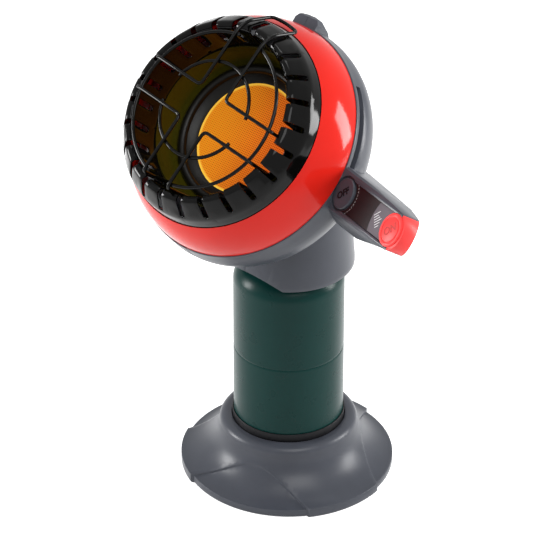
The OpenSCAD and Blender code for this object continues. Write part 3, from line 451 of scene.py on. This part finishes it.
LETTER_GREY = Finish("grey_plastic", (0.004, 0.004, 0.005), 0.4, specular=0.1, look="letter_grey")
LETTER_RED = Finish("red_plastic", (0.42, 0.022, 0.020), 0.45, specular=0.2, look="letter_red")

PLAIN_FINISHES = (
    GREY_PLASTIC, BLACK_PLASTIC, GREEN_PAINT, STEEL, SPRING_STEEL, BRASS, BLACK_RUBBER,
    WHITE_CERAMIC, GASKET_FIBRE, TILE, BURNER_BLACK, GOLD_REFLECTOR, BLACK_ENAMEL,
    RED_PAINT, RED_PLASTIC, RED_RUBBER, LABEL_FILM,
)


# --------------------------------------------------------------------------
# Surfaces
# --------------------------------------------------------------------------


def grid_faces(rows: int, columns: int, wrap: bool) -> Array:
    """Quads of a grid of points, wound so that rows then columns turn outwards.

    Args:
        rows: Number of points along the first way.
        columns: Number of points along the second way.
        wrap: Whether the last column joins the first.

    Returns:
        One row of four point numbers for each face.
    """
    i = np.arange(rows - 1)[:, None]
    j = np.arange(columns if wrap else columns - 1)[None, :]
    k = (j + 1) % columns
    near, far = i * columns, (i + 1) * columns
    return np.stack([near + j, near + k, far + k, far + j], -1).reshape(-1, 4)


def linked(name: str, data: bpy.types.ID) -> bpy.types.Object:
    """A new object in the scene, at the origin.

    Args:
        name: The object's name.
        data: Its mesh, text, camera or lamp.

    Returns:
        The new object.
    """
    made = bpy.data.objects.new(name, data)
    bpy.context.scene.collection.objects.link(made)
    return made


def make_piece(name: str, points: Array, faces: Array | list[list[int]], finish: Finish,
               body: Body, replaces: Sequence[str] = (),
               sharp: float = 40.0) -> bpy.types.Object:
    """Turn arrays into a smooth-shaded piece that rides on a body.

    Args:
        name: The piece's name.
        points: Point positions in the object's frame, in metres.
        faces: Quads as rows of four point numbers, or faces of any number of corners.
        finish: What it is made of.
        body: The body that it rides on.
        replaces: Part nodes that this piece is shown in place of.
        sharp: Edges that turn more than this many degrees stay crisp.

    Returns:
        The new object.
    """
    mesh = bpy.data.meshes.new(name)
    corners = faces.tolist() if isinstance(faces, np.ndarray) else faces
    mesh.from_pydata(points.reshape(-1, 3).tolist(), [], corners)
    mesh.update()
    piece = linked(name, mesh)
    tidy_faces(mesh, sharp)
    dress(piece, finish)
    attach(piece, body.value)
    if replaces:
        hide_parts(*replaces)
    LOG.info("%s: %d faces in %s", name, len(mesh.polygons), finish.slot)
    return piece


def swollen(node: bpy.types.Object, name: str, finish: Finish, body: Body,
            amount: float) -> bpy.types.Object:
    """A copy of a wire with its dipped coat: every point moves out along its normal.

    Args:
        node: The part node to copy.
        name: The new piece's name.
        finish: What it is made of.
        body: The body that it rides on.
        amount: Thickness of the coat in metres.

    Returns:
        The new object, which replaces the node.
    """
    piece = loose_copy(node, name)
    edit = bmesh.new()
    edit.from_mesh(piece.data)
    bmesh.ops.remove_doubles(edit, verts=edit.verts, dist=MERGE_DISTANCE)
    edit.normal_update()
    top = max(vertex.co.z for vertex in edit.verts)
    for vertex in edit.verts:
        vertex.co += vertex.normal * amount
        vertex.co.z = min(vertex.co.z, top)
    for face in edit.faces:
        face.smooth = True
    edit.to_mesh(piece.data)
    edit.free()
    dress(piece, finish)
    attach(piece, body.value)
    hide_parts(node.name)
    LOG.info("%s: coated copy of %s", name, node.name)
    return piece


def sprung(node: bpy.types.Object, name: str) -> bpy.types.Object:
    """A copy of a button's return spring, shaded smooth.

    Args:
        node: The part node of the spring.
        name: The new piece's name.

    Returns:
        The new object, which replaces the node.
    """
    piece = loose_copy(node, name)
    tidy_faces(piece.data, 60.0)
    dress(piece, SPRING_STEEL)
    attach(piece, Body.HEAD.value)
    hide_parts(node.name)
    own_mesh(piece)
    return piece


def tidy_faces(mesh: bpy.types.Mesh, sharp: float) -> None:
    """Merge doubles, turn faces outwards and shade smooth up to an angle.

    Args:
        mesh: The mesh to tidy.
        sharp: Largest turn between smooth faces, in degrees.
    """
    edit = bmesh.new()
    edit.from_mesh(mesh)
    bmesh.ops.remove_doubles(edit, verts=edit.verts, dist=MERGE_DISTANCE)
    bmesh.ops.recalc_face_normals(edit, faces=edit.faces)
    for face in edit.faces:
        face.smooth = True
    for edge in edit.edges:
        turn = edge.calc_face_angle(0.0)
        edge.smooth = len(edge.link_faces) == 2 and turn < math.radians(sharp)
    edit.to_mesh(mesh)
    edit.free()


def dress(piece: bpy.types.Object, finish: Finish) -> None:
    """Give a piece its finish.

    Args:
        piece: The piece to dress.
        finish: What it is made of.
    """
    piece.data.materials.clear()
    piece.data.materials.append(finish.build())


def revolve(profile: Array, axes: Axes, segments: int = 192) -> tuple[Array, Array]:
    """Turn a closed outline about a frame's out axis.

    The surface is (r cos a, r sin a, h) for each outline point (r, h) and each
    angle a round the axis.

    Args:
        profile: Outline points as radius and height, in metres.
        axes: The frame to turn in.
        segments: Number of steps round.

    Returns:
        Points and faces.
    """
    angle = np.linspace(0.0, 2.0 * math.pi, segments, endpoint=False)
    closed = np.vstack([profile, profile[:1]])
    r, h = closed[:, 0][:, None], closed[:, 1][:, None]
    points = np.stack([r * np.cos(angle), r * np.sin(angle), h + 0.0 * angle], -1)
    return axes.place(points), grid_faces(len(closed), segments, wrap=True)


def oval(centre: tuple[float, float], wide: float, tall: float, start: float, end: float,
         steps: int) -> Array:
    """Points of an upright ellipse about a centre, from start to end in degrees."""
    a = np.radians(np.linspace(start, end, steps + 1))
    return np.stack([centre[0] + wide * np.cos(a), centre[1] + tall * np.sin(a)], -1)


def arc(centre: tuple[float, float], radius: float, start: float, end: float, steps: int) -> Array:
    """Points of an arc about a centre, from start to end in degrees."""
    return oval(centre, radius, radius, start, end, steps)


def rounded(outline: Array, radius: float, steps: int = 4) -> Array:
    """Round every corner of a closed outline.

    Each corner becomes a quadratic curve that leaves its sides at the given
    distance, or at a little under half of a shorter side.

    Args:
        outline: Corner points in order.
        radius: Reach of the rounding along each side.
        steps: Points on each rounding.

    Returns:
        The rounded outline.
    """
    before = np.roll(outline, 1, axis=0) - outline
    after = np.roll(outline, -1, axis=0) - outline
    far_before = np.linalg.norm(before, axis=1, keepdims=True)
    far_after = np.linalg.norm(after, axis=1, keepdims=True)
    reach = np.minimum(radius, 0.48 * np.minimum(far_before, far_after))
    start = (outline + before / far_before * reach)[:, None]
    end = (outline + after / far_after * reach)[:, None]
    t = np.linspace(0.0, 1.0, steps + 1)[None, :, None]
    curve = (1 - t) ** 2 * start + 2 * t * (1 - t) * outline[:, None] + t ** 2 * end
    return curve.reshape(-1, outline.shape[1])


def rounded_off_axis(outline: Array, radius: float) -> Array:
    """Round an outline's corners except those on the axis.

    Args:
        outline: Corner points as radius and height, in order.
        radius: Reach of the rounding along each side.

    Returns:
        The rounded outline.
    """
    soft = rounded(outline, radius)
    soft[:, 0] = np.where(soft[:, 0] < 2 * radius, 0.0, soft[:, 0])
    return soft


def loose_copy(node: bpy.types.Object, name: str) -> bpy.types.Object:
    """A copy of a part node's loose triangles as a new object at the origin.

    Args:
        node: The part node to copy.
        name: The name of the copy and of its mesh.

    Returns:
        The new object.
    """
    mesh = node.data.copy()
    mesh.name = name
    return linked(name, mesh)


def softened(node: bpy.types.Object, name: str, finish: Finish, body: Body, width: float,
             segments: int = 2, sharp: float = 30.0, harden: bool = True) -> bpy.types.Object:
    """A copy of a part node with its crisp edges eased by a small bevel.

    Args:
        node: The part node to copy.
        name: The new piece's name.
        finish: What it is made of.
        body: The body that it rides on.
        width: Bevel width in metres.
        segments: Steps across each bevel.
        sharp: Edges that turn more than this many degrees are eased.
        harden: Whether the faces beside an eased edge keep a flat look.

    Returns:
        The new object, which replaces the node.
    """
    piece = loose_copy(node, name)
    edit = bmesh.new()
    edit.from_mesh(piece.data)
    bmesh.ops.remove_doubles(edit, verts=edit.verts, dist=MERGE_DISTANCE)
    bmesh.ops.dissolve_limit(edit, angle_limit=FLAT_TURN, verts=edit.verts, edges=edit.edges)
    for face in edit.faces:
        face.smooth = True
    edit.to_mesh(piece.data)
    edit.free()
    bevel = piece.modifiers.new("eased edges", "BEVEL")
    bevel.width = width
    bevel.segments = segments
    bevel.limit_method = "ANGLE"
    bevel.angle_limit = math.radians(sharp)
    bevel.harden_normals = harden
    bevel.use_clamp_overlap = True
    dress(piece, finish)
    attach(piece, body.value)
    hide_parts(node.name)
    LOG.info("%s: eased copy of %s", name, node.name)
    return piece


# --------------------------------------------------------------------------
# Sub-assemblies
# --------------------------------------------------------------------------


@dataclass
class Foot:
    """The round moulded foot with three raised lobes."""

    nodes: Nodes
    edge: float = 0.5 * MM

    def build(self) -> None:
        """Ease the edges of the foot moulding."""
        softened(self.nodes["base_foot"], "foot_moulding", GREY_PLASTIC, Body.FOOT, self.edge)


@dataclass
class GasCylinder:
    """The green steel cylinder and the black boot under it."""

    radius: float = 49.2 * MM
    wall: float = 0.9 * MM
    boot_radius: float = 50.4 * MM
    boot_low: float = 29.5 * MM
    boot_top: float = 58.0 * MM
    boot_gap: float = 0.05 * MM
    boot_edge: float = 0.5 * MM
    seam: float = 125.0 * MM
    seam_depth: float = 0.5 * MM
    seam_reach: float = 2.2 * MM
    shoulder: float = 193.0 * MM
    shoulder_flat: float = 13.7 * MM
    crown: float = 216.0 * MM
    neck_hole: float = 12.75 * MM
    bottom: float = 30.7 * MM
    bottom_flat: float = 18.0 * MM
    bottom_rise: float = 17.0 * MM

    def build(self) -> None:
        """Make the boot and both drawn cups."""
        inner = self.radius + self.boot_gap
        boot = np.array([[0.0, self.boot_low], [self.boot_radius, self.boot_low],
                         [self.boot_radius, self.boot_top], [inner, self.boot_top],
                         [inner, self.bottom], [0.0, self.bottom]])
        make_piece("boot_moulding", *revolve(rounded_off_axis(boot, self.boot_edge), STAND),
                   BLACK_PLASTIC, Body.CYLINDER, ["cylinder_boot"])
        inside = self.radius - self.wall
        middle = (self.bottom_flat, self.bottom + self.bottom_rise)
        wide, tall = self.radius - self.bottom_flat, self.bottom_rise
        low = np.vstack([[[0.0, self.bottom]],
                         oval(middle, wide, tall, -90, 0, steps=14),
                         self.seam_lip(-1.0),
                         [[inside, self.seam - self.seam_depth]],
                         oval(middle, wide - self.wall, tall - self.wall, 0, -90, steps=14),
                         [[0.0, self.bottom + self.wall]]])
        make_piece("cylinder_cup_low", *revolve(low, STAND), GREEN_PAINT, Body.CYLINDER,
                   ["cylinder_lower_shell"])
        middle = (self.shoulder_flat, self.shoulder)
        wide, tall = self.radius - self.shoulder_flat, self.crown - self.shoulder
        upper = np.vstack([self.seam_lip(1.0)[::-1],
                           oval(middle, wide, tall, 0, 90, steps=28),
                           [[self.neck_hole, self.crown],
                            [self.neck_hole, self.crown - self.wall]],
                           oval(middle, wide - self.wall, tall - self.wall, 90, 0, steps=28),
                           [[inside, self.seam]]])
        make_piece("cylinder_cup_high", *revolve(upper, STAND), GREEN_PAINT, Body.CYLINDER,
                   ["cylinder_upper_shell"])

    def seam_lip(self, side: float) -> Array:
        """The rounded lip of a cup where it meets the weld seam.

        Args:
            side: -1 for the lower cup, 1 for the upper one.

        Returns:
            Outline points from the wall to the seam.
        """
        t = np.linspace(0.0, 1.0, 7)
        r = self.radius - self.seam_depth * t ** 2
        z = self.seam + side * self.seam_reach * (1.0 - t)
        return np.stack([r, z], -1)


@dataclass
class BurnerFront:
    """The front ring, the glowing tile and its retainer, turned about the head's axis."""

    ring_radius: float = 105.9 * MM
    ring_back: float = 78.5 * MM
    ring_wall: float = 1.6 * MM
    ring_gap: float = 0.3 * MM
    ring_lip: float = 4.0 * MM
    dish_radius: float = 92.8 * MM
    dish_edge: float = 112.0 * MM
    flange: float = 115.0 * MM
    bulge: float = 70.0 * MM
    tile_radius: float = 51.5 * MM
    tile_face: float = 73.3 * MM
    tile_lip: float = 2.1 * MM
    tile_depth: float = 12.0 * MM
    reflector_inner: float = 57.2 * MM
    reflector_low: float = 76.2 * MM
    reflector_reach: float = 12.8 * MM
    reflector_rise: float = 30.0 * MM
    bead_centre: tuple[float, float] = (59.8 * MM, 81.0 * MM)
    bead_radius: float = 3.9 * MM
    bead_lift: float = 0.2 * MM
    bead_cover: float = math.radians(30.0)
    throat_lift: float = 0.05 * MM
    throat: tuple[tuple[float, float], ...] = ((0.0, 0.0), (0.0, 1.0 * MM), (2.2 * MM, 1.8 * MM))

    def build(self) -> None:
        """Make each turned piece."""
        self.build_ring()
        self.build_tile()
        self.build_bead()

    def build_ring(self) -> None:
        """The red ring: a convex band from the dish's edge to the bowl."""
        seat, lip_end = self.dish_radius + self.ring_gap, self.dish_radius - self.ring_lip
        start = np.array([seat, self.flange])
        end = np.array([self.ring_radius, self.ring_back])
        middle, chord = (start + end) / 2, end - start
        half = np.linalg.norm(chord) / 2
        normal = np.array([chord[1], -chord[0]]) / (2 * half)
        centre = middle + normal * math.sqrt(self.bulge ** 2 - half ** 2)
        first = math.degrees(math.atan2(*(start - centre)[::-1]))
        last = math.degrees(math.atan2(*(end - centre)[::-1]))
        outside = arc(tuple(centre), self.bulge, first, last, steps=24)
        inside = arc(tuple(centre), self.bulge - self.ring_wall, last, first, steps=24)
        under = self.dish_edge - self.ring_wall
        lip = np.array([[seat, under], [lip_end, under], [lip_end, self.dish_edge],
                        [seat, self.dish_edge]])
        outline = np.vstack([outside, inside[:-2], lip])
        make_piece("red_ring", *revolve(outline, HEAD, 256), RED_PAINT, Body.HEAD, ["front_ring"])

    def build_tile(self) -> None:
        """The glowing tile as a low disc."""
        back = self.tile_face - self.tile_depth
        outline = np.array([[0.0, self.tile_face], [0.0, back], [self.tile_radius, back],
                            [self.tile_radius, self.tile_face]])
        make_piece("glowing_tile", *revolve(outline, HEAD), TILE, Body.HEAD, ["ceramic_tile"])

    def build_bead(self) -> None:
        """The tile's retainer: a dark funnel that rolls over onto the reflector.

        Its underside follows the reflector, whose section is
        r = inner + reach sin a, h = low + rise (1 - cos a).
        """
        a = np.linspace(self.bead_cover, 0.0, 7)
        under_r = self.reflector_inner + self.reflector_reach * np.sin(a) - self.bead_lift
        under_h = self.reflector_low + self.reflector_rise * (1 - np.cos(a)) + self.bead_lift
        lip, top = self.tile_radius - self.tile_lip, self.tile_face + self.throat_lift
        outline = np.vstack([np.array([lip, top]) + np.array(self.throat),
                             arc(self.bead_centre, self.bead_radius, 200, 0, steps=20),
                             np.stack([under_r, under_h], -1), [[self.tile_radius, top]]])
        make_piece("burner_bead", *revolve(outline, HEAD), BURNER_BLACK, Body.HEAD,
                   ["tile_retainer"])


@dataclass
class Casing:
    """The pressed dish behind the burner and the moulded housing round it."""

    nodes: Nodes
    sheet_edge: float = 0.25 * MM
    moulded_edge: float = 0.7 * MM

    def build(self) -> None:
        """Ease the edges of the dish and of both housing halves."""
        softened(self.nodes["slotted_dish"], "dish_sheet", BLACK_ENAMEL, Body.HEAD,
                 self.sheet_edge, harden=False)
        for side in ("left", "right"):
            softened(self.nodes[f"housing_{side}"], f"bowl_{side}", GREY_PLASTIC, Body.HEAD,
                     self.moulded_edge)


@dataclass
class Buttons:
    """The ON and OFF buttons and the springs that push them back."""

    nodes: Nodes
    edge: float = 0.4 * MM
    on_travel: float = 6.0 * MM
    off_travel: float = 4.0 * MM

    def build_caps(self) -> None:
        """Ease the edges of both buttons."""
        softened(self.nodes["on_button"], "on_cap", RED_PLASTIC, Body.ON, self.edge)
        softened(self.nodes["off_button"], "off_cap", GREY_PLASTIC, Body.OFF, self.edge)

    def build_springs(self) -> None:
        """Make both springs as shaded copies of their part nodes."""
        sprung(self.nodes["on_spring"], "on_coil")
        sprung(self.nodes["off_spring"], "off_coil")


@dataclass
class Guard:
    """The wire guard over the burner, dipped in black enamel."""

    nodes: Nodes
    wires: tuple[str, ...] = ("guard_wire_top", "guard_wire_left", "guard_wire_right",
                              "guard_outer_arcs", "guard_inner_arcs")
    coat: float = 0.18 * MM

    def build(self) -> None:
        """Give every wire its coat."""
        for wire in self.wires:
            swollen(self.nodes[wire], wire + "_dipped", BLACK_ENAMEL, Body.HEAD, self.coat)


@dataclass
class ControlFace:
    """Lettering on the two buttons and plain print on the arm's label."""

    pitch: float = 82.4 * MM
    off_top: float = 2.4 * MM
    on_top: float = 3.4 * MM
    label_half: float = 12.9 * MM
    label_top: float = 0.5 * MM
    tint_reach: float = 34.0 * MM
    tint_start: float = 15.4 * MM
    tint_grid: tuple[int, int] = (12, 25)
    letter_size: float = 9.6 * MM
    letter_height: float = 0.18 * MM
    letter_weight: float = 0.25 * MM
    letter_turn: float = math.radians(45)
    off_scale: float = 0.88
    ink_lift: float = 0.06 * MM
    dashes: int = 13
    dash_start: float = math.radians(-54)
    dash_step: float = math.radians(9)
    dash_radius: float = 18.0 * MM
    dash_size: tuple[float, float] = (1.7 * MM, 0.35 * MM)
    bar_lengths: tuple[float, ...] = (8.5 * MM, 6.0 * MM, 7.5 * MM, 9.0 * MM, 6.5 * MM, 5.0 * MM)
    bar_width: float = 0.6 * MM
    bar_pitch: float = 2.3 * MM
    bars_from_on: float = 25.0 * MM

    def build(self) -> None:
        """Make the letters, the label's tint and its print."""
        self.letters("off_letters", "OFF", 0.0, self.off_top, self.off_scale, LETTER_GREY,
                     Body.OFF)
        self.letters("on_letters", "ON", self.pitch, self.on_top, 1.0, LETTER_RED, Body.ON)
        self.build_tint()
        self.build_print()

    def letters(self, name: str, word: str, along: float, top: float, scale: float,
                finish: Finish, body: Body) -> None:
        """Raised letters in the middle of a button.

        Args:
            name: The piece's name.
            word: What it says.
            along: Place of the button's centre along the arm.
            top: Height of the button's face above the panel.
            scale: Share of the full letter size.
            finish: What the letters are made of.
            body: The button's body.
        """
        curve = bpy.data.curves.new(name, "FONT")
        curve.body = word
        curve.size = self.letter_size * scale
        curve.extrude = self.letter_height
        curve.offset = self.letter_weight
        curve.resolution_u = 4
        curve.align_x, curve.align_y = "CENTER", "CENTER"
        flat = linked(name + "_curve", curve)
        bpy.context.view_layer.update()
        mesh = bpy.data.meshes.new_from_object(flat)
        bpy.data.objects.remove(flat)
        points = np.array([vertex.co[:] for vertex in mesh.vertices])
        faces = [list(face.vertices) for face in mesh.polygons]
        turn = self.letter_turn
        c, sn = math.cos(turn), math.sin(turn)
        x, y = points[:, 0], points[:, 1]
        placed = np.stack([x * c - y * sn + along, x * sn + y * c, points[:, 2] + top], -1)
        make_piece(name, ARM.place(placed), faces, finish, body, sharp=30.0)

    def build_tint(self) -> None:
        """The paler area round the ON button: r and a are polar about its centre.

        A point is (pitch - r cos a, r sin a), and a runs between the label's
        sides, where r sin a is plus or minus the label's half width.
        """
        rows, columns = self.tint_grid
        r = np.linspace(self.tint_start, self.tint_reach, rows)[:, None]
        side = np.arcsin(self.label_half / r)
        a = side * np.linspace(-1.0, 1.0, columns)[None, :]
        lift = np.full_like(a, self.label_top + self.ink_lift)
        points = np.stack([self.pitch - r * np.cos(a), r * np.sin(a), lift], -1)
        make_piece("label_tint", ARM.place(points), grid_faces(rows, columns, wrap=False),
                   LABEL_TINT, Body.HEAD)

    def build_print(self) -> None:
        """Dashes round the OFF button and rows of plain bars beside ON."""
        lift = self.label_top + 2 * self.ink_lift
        quads = []
        for step in range(self.dashes):
            angle = self.dash_start + self.dash_step * step
            centre = np.array([math.cos(angle), math.sin(angle)]) * self.dash_radius
            quads.append(self.bar(centre, angle + math.pi / 2, *self.dash_size, lift))
        turn = self.letter_turn
        along = np.array([math.cos(turn), math.sin(turn)])
        down = np.array([along[1], -along[0]])
        longest, last = max(self.bar_lengths), len(self.bar_lengths) - 1
        for row, length in enumerate(self.bar_lengths):
            centre = np.array([self.pitch - self.bars_from_on, 0.0])
            centre = centre + down * (row - last / 2) * self.bar_pitch
            centre = centre + along * (length - longest) / 2
            quads.append(self.bar(centre, turn, length, self.bar_width, lift))
        points = np.vstack(quads)
        faces = np.arange(len(points)).reshape(-1, 4)
        make_piece("label_print", ARM.place(points), faces, LABEL_INK, Body.HEAD)

    @staticmethod
    def bar(centre: Array, turn: float, length: float, width: float, lift: float) -> Array:
        """Corners of a flat bar in the arm's frame.

        Args:
            centre: Middle of the bar on the arm's face.
            turn: Direction of its long side, in radians.
            length: Length in metres.
            width: Width in metres.
            lift: Height above the panel.

        Returns:
            Four corners in order.
        """
        along = np.array([math.cos(turn), math.sin(turn)]) * length / 2
        across = np.array([-math.sin(turn), math.cos(turn)]) * width / 2
        corners = [centre - along - across, centre + along - across,
                   centre + along + across, centre - along + across]
        return np.array([[x, y, lift] for x, y in corners])


@dataclass
class Studio:
    """Camera, lamps, floor and backdrop."""

    azimuth: float = math.radians(41.93)
    elevation: float = math.radians(32.0)
    distance: float = 3.0
    lens: float = 231.7
    sensor: float = 36.0
    pivot: tuple[float, float, float] = (0.0, 0.0, 0.22)
    aim_right: float = -19.7 * MM
    aim_up: float = -14.4 * MM
    farthest: float = 50.0
    world_strength: float = 0.30
    floor_half: float = 6.0
    floor_glow: float = 0.62
    lamp_aim: tuple[float, float, float] = (0.0, -0.03, 0.28)

    def view_axes(self) -> tuple[Vector, Vector, Vector]:
        """Where the camera's own axes point.

        Returns:
            Right, up and back directions of the camera.
        """
        a, e = self.azimuth, self.elevation
        back = Vector((math.sin(a) * math.cos(e), -math.cos(a) * math.cos(e), math.sin(e)))
        right = Vector((math.cos(a), math.sin(a), 0.0))
        return right, back.cross(right), back

    def build(self) -> None:
        """Make everything that isn't the heater."""
        self.add_camera()
        self.add_world()
        self.add_floor()
        self.add_lamps()

    def add_camera(self) -> None:
        """A long lens at the height and side that show face, arm and foot."""
        right, up, back = self.view_axes()
        data = bpy.data.cameras.new("camera")
        data.lens = self.lens
        data.sensor_width = self.sensor
        data.clip_end = self.farthest
        camera = linked("camera", data)
        aim = Vector(self.pivot) + right * self.aim_right + up * self.aim_up
        camera.location = aim + back * self.distance
        camera.rotation_mode = "QUATERNION"
        camera.rotation_quaternion = back.to_track_quat("Z", "Y")
        bpy.context.scene.camera = camera

    def seen_rays(self, tree: bpy.types.NodeTree) -> bpy.types.NodeSocket:
        """Whether a ray comes from the camera, directly, by a mirror or through glass.

        Args:
            tree: The nodes to add to.

        Returns:
            A socket that is 1 for such rays and 0 for all others.
        """
        ray = tree.nodes.new("ShaderNodeLightPath")
        first = tree.nodes.new("ShaderNodeMath")
        second = tree.nodes.new("ShaderNodeMath")
        first.operation = second.operation = "ADD"
        first.use_clamp = second.use_clamp = True
        tree.links.new(ray.outputs["Is Camera Ray"], first.inputs[0])
        tree.links.new(ray.outputs["Is Glossy Ray"], first.inputs[1])
        tree.links.new(first.outputs["Value"], second.inputs[0])
        tree.links.new(ray.outputs["Is Transmission Ray"], second.inputs[1])
        return second.outputs["Value"]

    def add_world(self) -> None:
        """A soft grey world that shows as white to the camera."""
        world = bpy.data.worlds.new("studio")
        bpy.context.scene.world = world
        world.use_nodes = True
        tree = world.node_tree
        ground = tree.nodes["Background"]
        ground.inputs["Color"].default_value = (1.0, 1.0, 1.0, 1.0)
        ground.inputs["Strength"].default_value = self.world_strength
        seen = tree.nodes.new("ShaderNodeBackground")
        seen.inputs["Color"].default_value = (1.0, 1.0, 1.0, 1.0)
        seen.inputs["Strength"].default_value = 1.0
        mix = tree.nodes.new("ShaderNodeMixShader")
        tree.links.new(self.seen_rays(tree), mix.inputs["Fac"])
        tree.links.new(ground.outputs["Background"], mix.inputs[1])
        tree.links.new(seen.outputs["Background"], mix.inputs[2])
        tree.links.new(mix.outputs["Shader"], tree.nodes["World Output"].inputs["Surface"])

    def add_floor(self) -> None:
        """A wide pale floor that keeps the heater's soft shadow."""
        size = self.floor_half
        mesh = bpy.data.meshes.new("floor")
        mesh.from_pydata([(-size, -size, 0), (size, -size, 0), (size, size, 0), (-size, size, 0)],
                         [], [(0, 1, 2, 3)])
        floor = linked("floor", mesh)
        material = bpy.data.materials.new("floor_paper")
        material.use_nodes = True
        tree = material.node_tree
        shader = tree.nodes["Principled BSDF"]
        shader.inputs["Base Color"].default_value = (0.9, 0.9, 0.9, 1.0)
        shader.inputs["Roughness"].default_value = 0.9
        glow = tree.nodes.new("ShaderNodeEmission")
        glow.inputs["Color"].default_value = (1.0, 1.0, 1.0, 1.0)
        glow.inputs["Strength"].default_value = self.floor_glow
        nothing = tree.nodes.new("ShaderNodeMixShader")
        black = tree.nodes.new("ShaderNodeEmission")
        black.inputs["Strength"].default_value = 0.0
        tree.links.new(self.seen_rays(tree), nothing.inputs["Fac"])
        tree.links.new(black.outputs["Emission"], nothing.inputs[1])
        tree.links.new(glow.outputs["Emission"], nothing.inputs[2])
        both = tree.nodes.new("ShaderNodeAddShader")
        tree.links.new(shader.outputs["BSDF"], both.inputs[0])
        tree.links.new(nothing.outputs["Shader"], both.inputs[1])
        tree.links.new(both.outputs["Shader"], tree.nodes["Material Output"].inputs["Surface"])
        mesh.materials.append(material)

    def add_lamps(self) -> None:
        """A box on each side, a wide one high in front and a weak one above."""
        self.add_box("left_box", side=-1.50, height=0.60, depth=-0.10, size=(0.4, 0.6),
                     power=24.0)
        self.add_box("right_box", side=1.50, height=0.60, depth=-0.10, size=(0.45, 0.8),
                     power=24.0)
        self.add_box("front_box", side=0.45, height=1.9, depth=1.4, size=(1.3, 1.3), power=30.0)
        self.add_box("top_box", side=0.0, height=2.2, depth=-0.3, size=(0.8, 0.5), power=8.0)

    def add_box(self, name: str, side: float, height: float, depth: float,
                size: tuple[float, float], power: float) -> None:
        """A rectangular soft box that faces the heater.

        Args:
            name: The lamp's name.
            side: Metres to the camera's right of the heater.
            height: Metres above the floor.
            depth: Metres from the heater towards the camera.
            size: Width and height of the box in metres.
            power: Watts.
        """
        right, _, back = self.view_axes()
        level = Vector((back.x, back.y, 0.0)).normalized()
        data = bpy.data.lights.new(name, "AREA")
        data.shape = "RECTANGLE"
        data.size, data.size_y = size
        data.energy = power
        lamp = linked(name, data)
        place = right * side + level * depth + Vector((0.0, 0.0, height))
        lamp.location = place
        lamp.rotation_mode = "QUATERNION"
        lamp.rotation_quaternion = (place - Vector(self.lamp_aim)).to_track_quat("Z", "Y")


# --------------------------------------------------------------------------
# Putting it together
# --------------------------------------------------------------------------


def dress_nodes(frame: dict) -> None:
    """Give every part node the finish of its slot in the record.
    """
    by_slot = {finish.slot: finish for finish in PLAIN_FINISHES}
    slots = {row["node"]: row["material_slot"] for row in frame["record"]["subparts"]}
    for name, node in frame["nodes"].items():
        node.data.materials.clear()
        node.data.materials.append(by_slot[slots[name]].build())


def main() -> None:
    """Build the heater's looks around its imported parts."""
    logging.basicConfig(level=logging.INFO, format="%(name)s: %(message)s")
    bpy.context.scene.view_settings.view_transform = "Standard"
    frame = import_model()
    Studio().build()
    dress_nodes(frame)
    nodes = frame["nodes"]
    Foot(nodes).build()
    GasCylinder().build()
    BurnerFront().build()
    Casing(nodes).build()
    buttons = Buttons(nodes)
    buttons.build_caps()
    ControlFace().build()
    buttons.build_springs()
    Guard(nodes).build()
    bpy.context.view_layer.update()


if __name__ == "__main__":
    main()
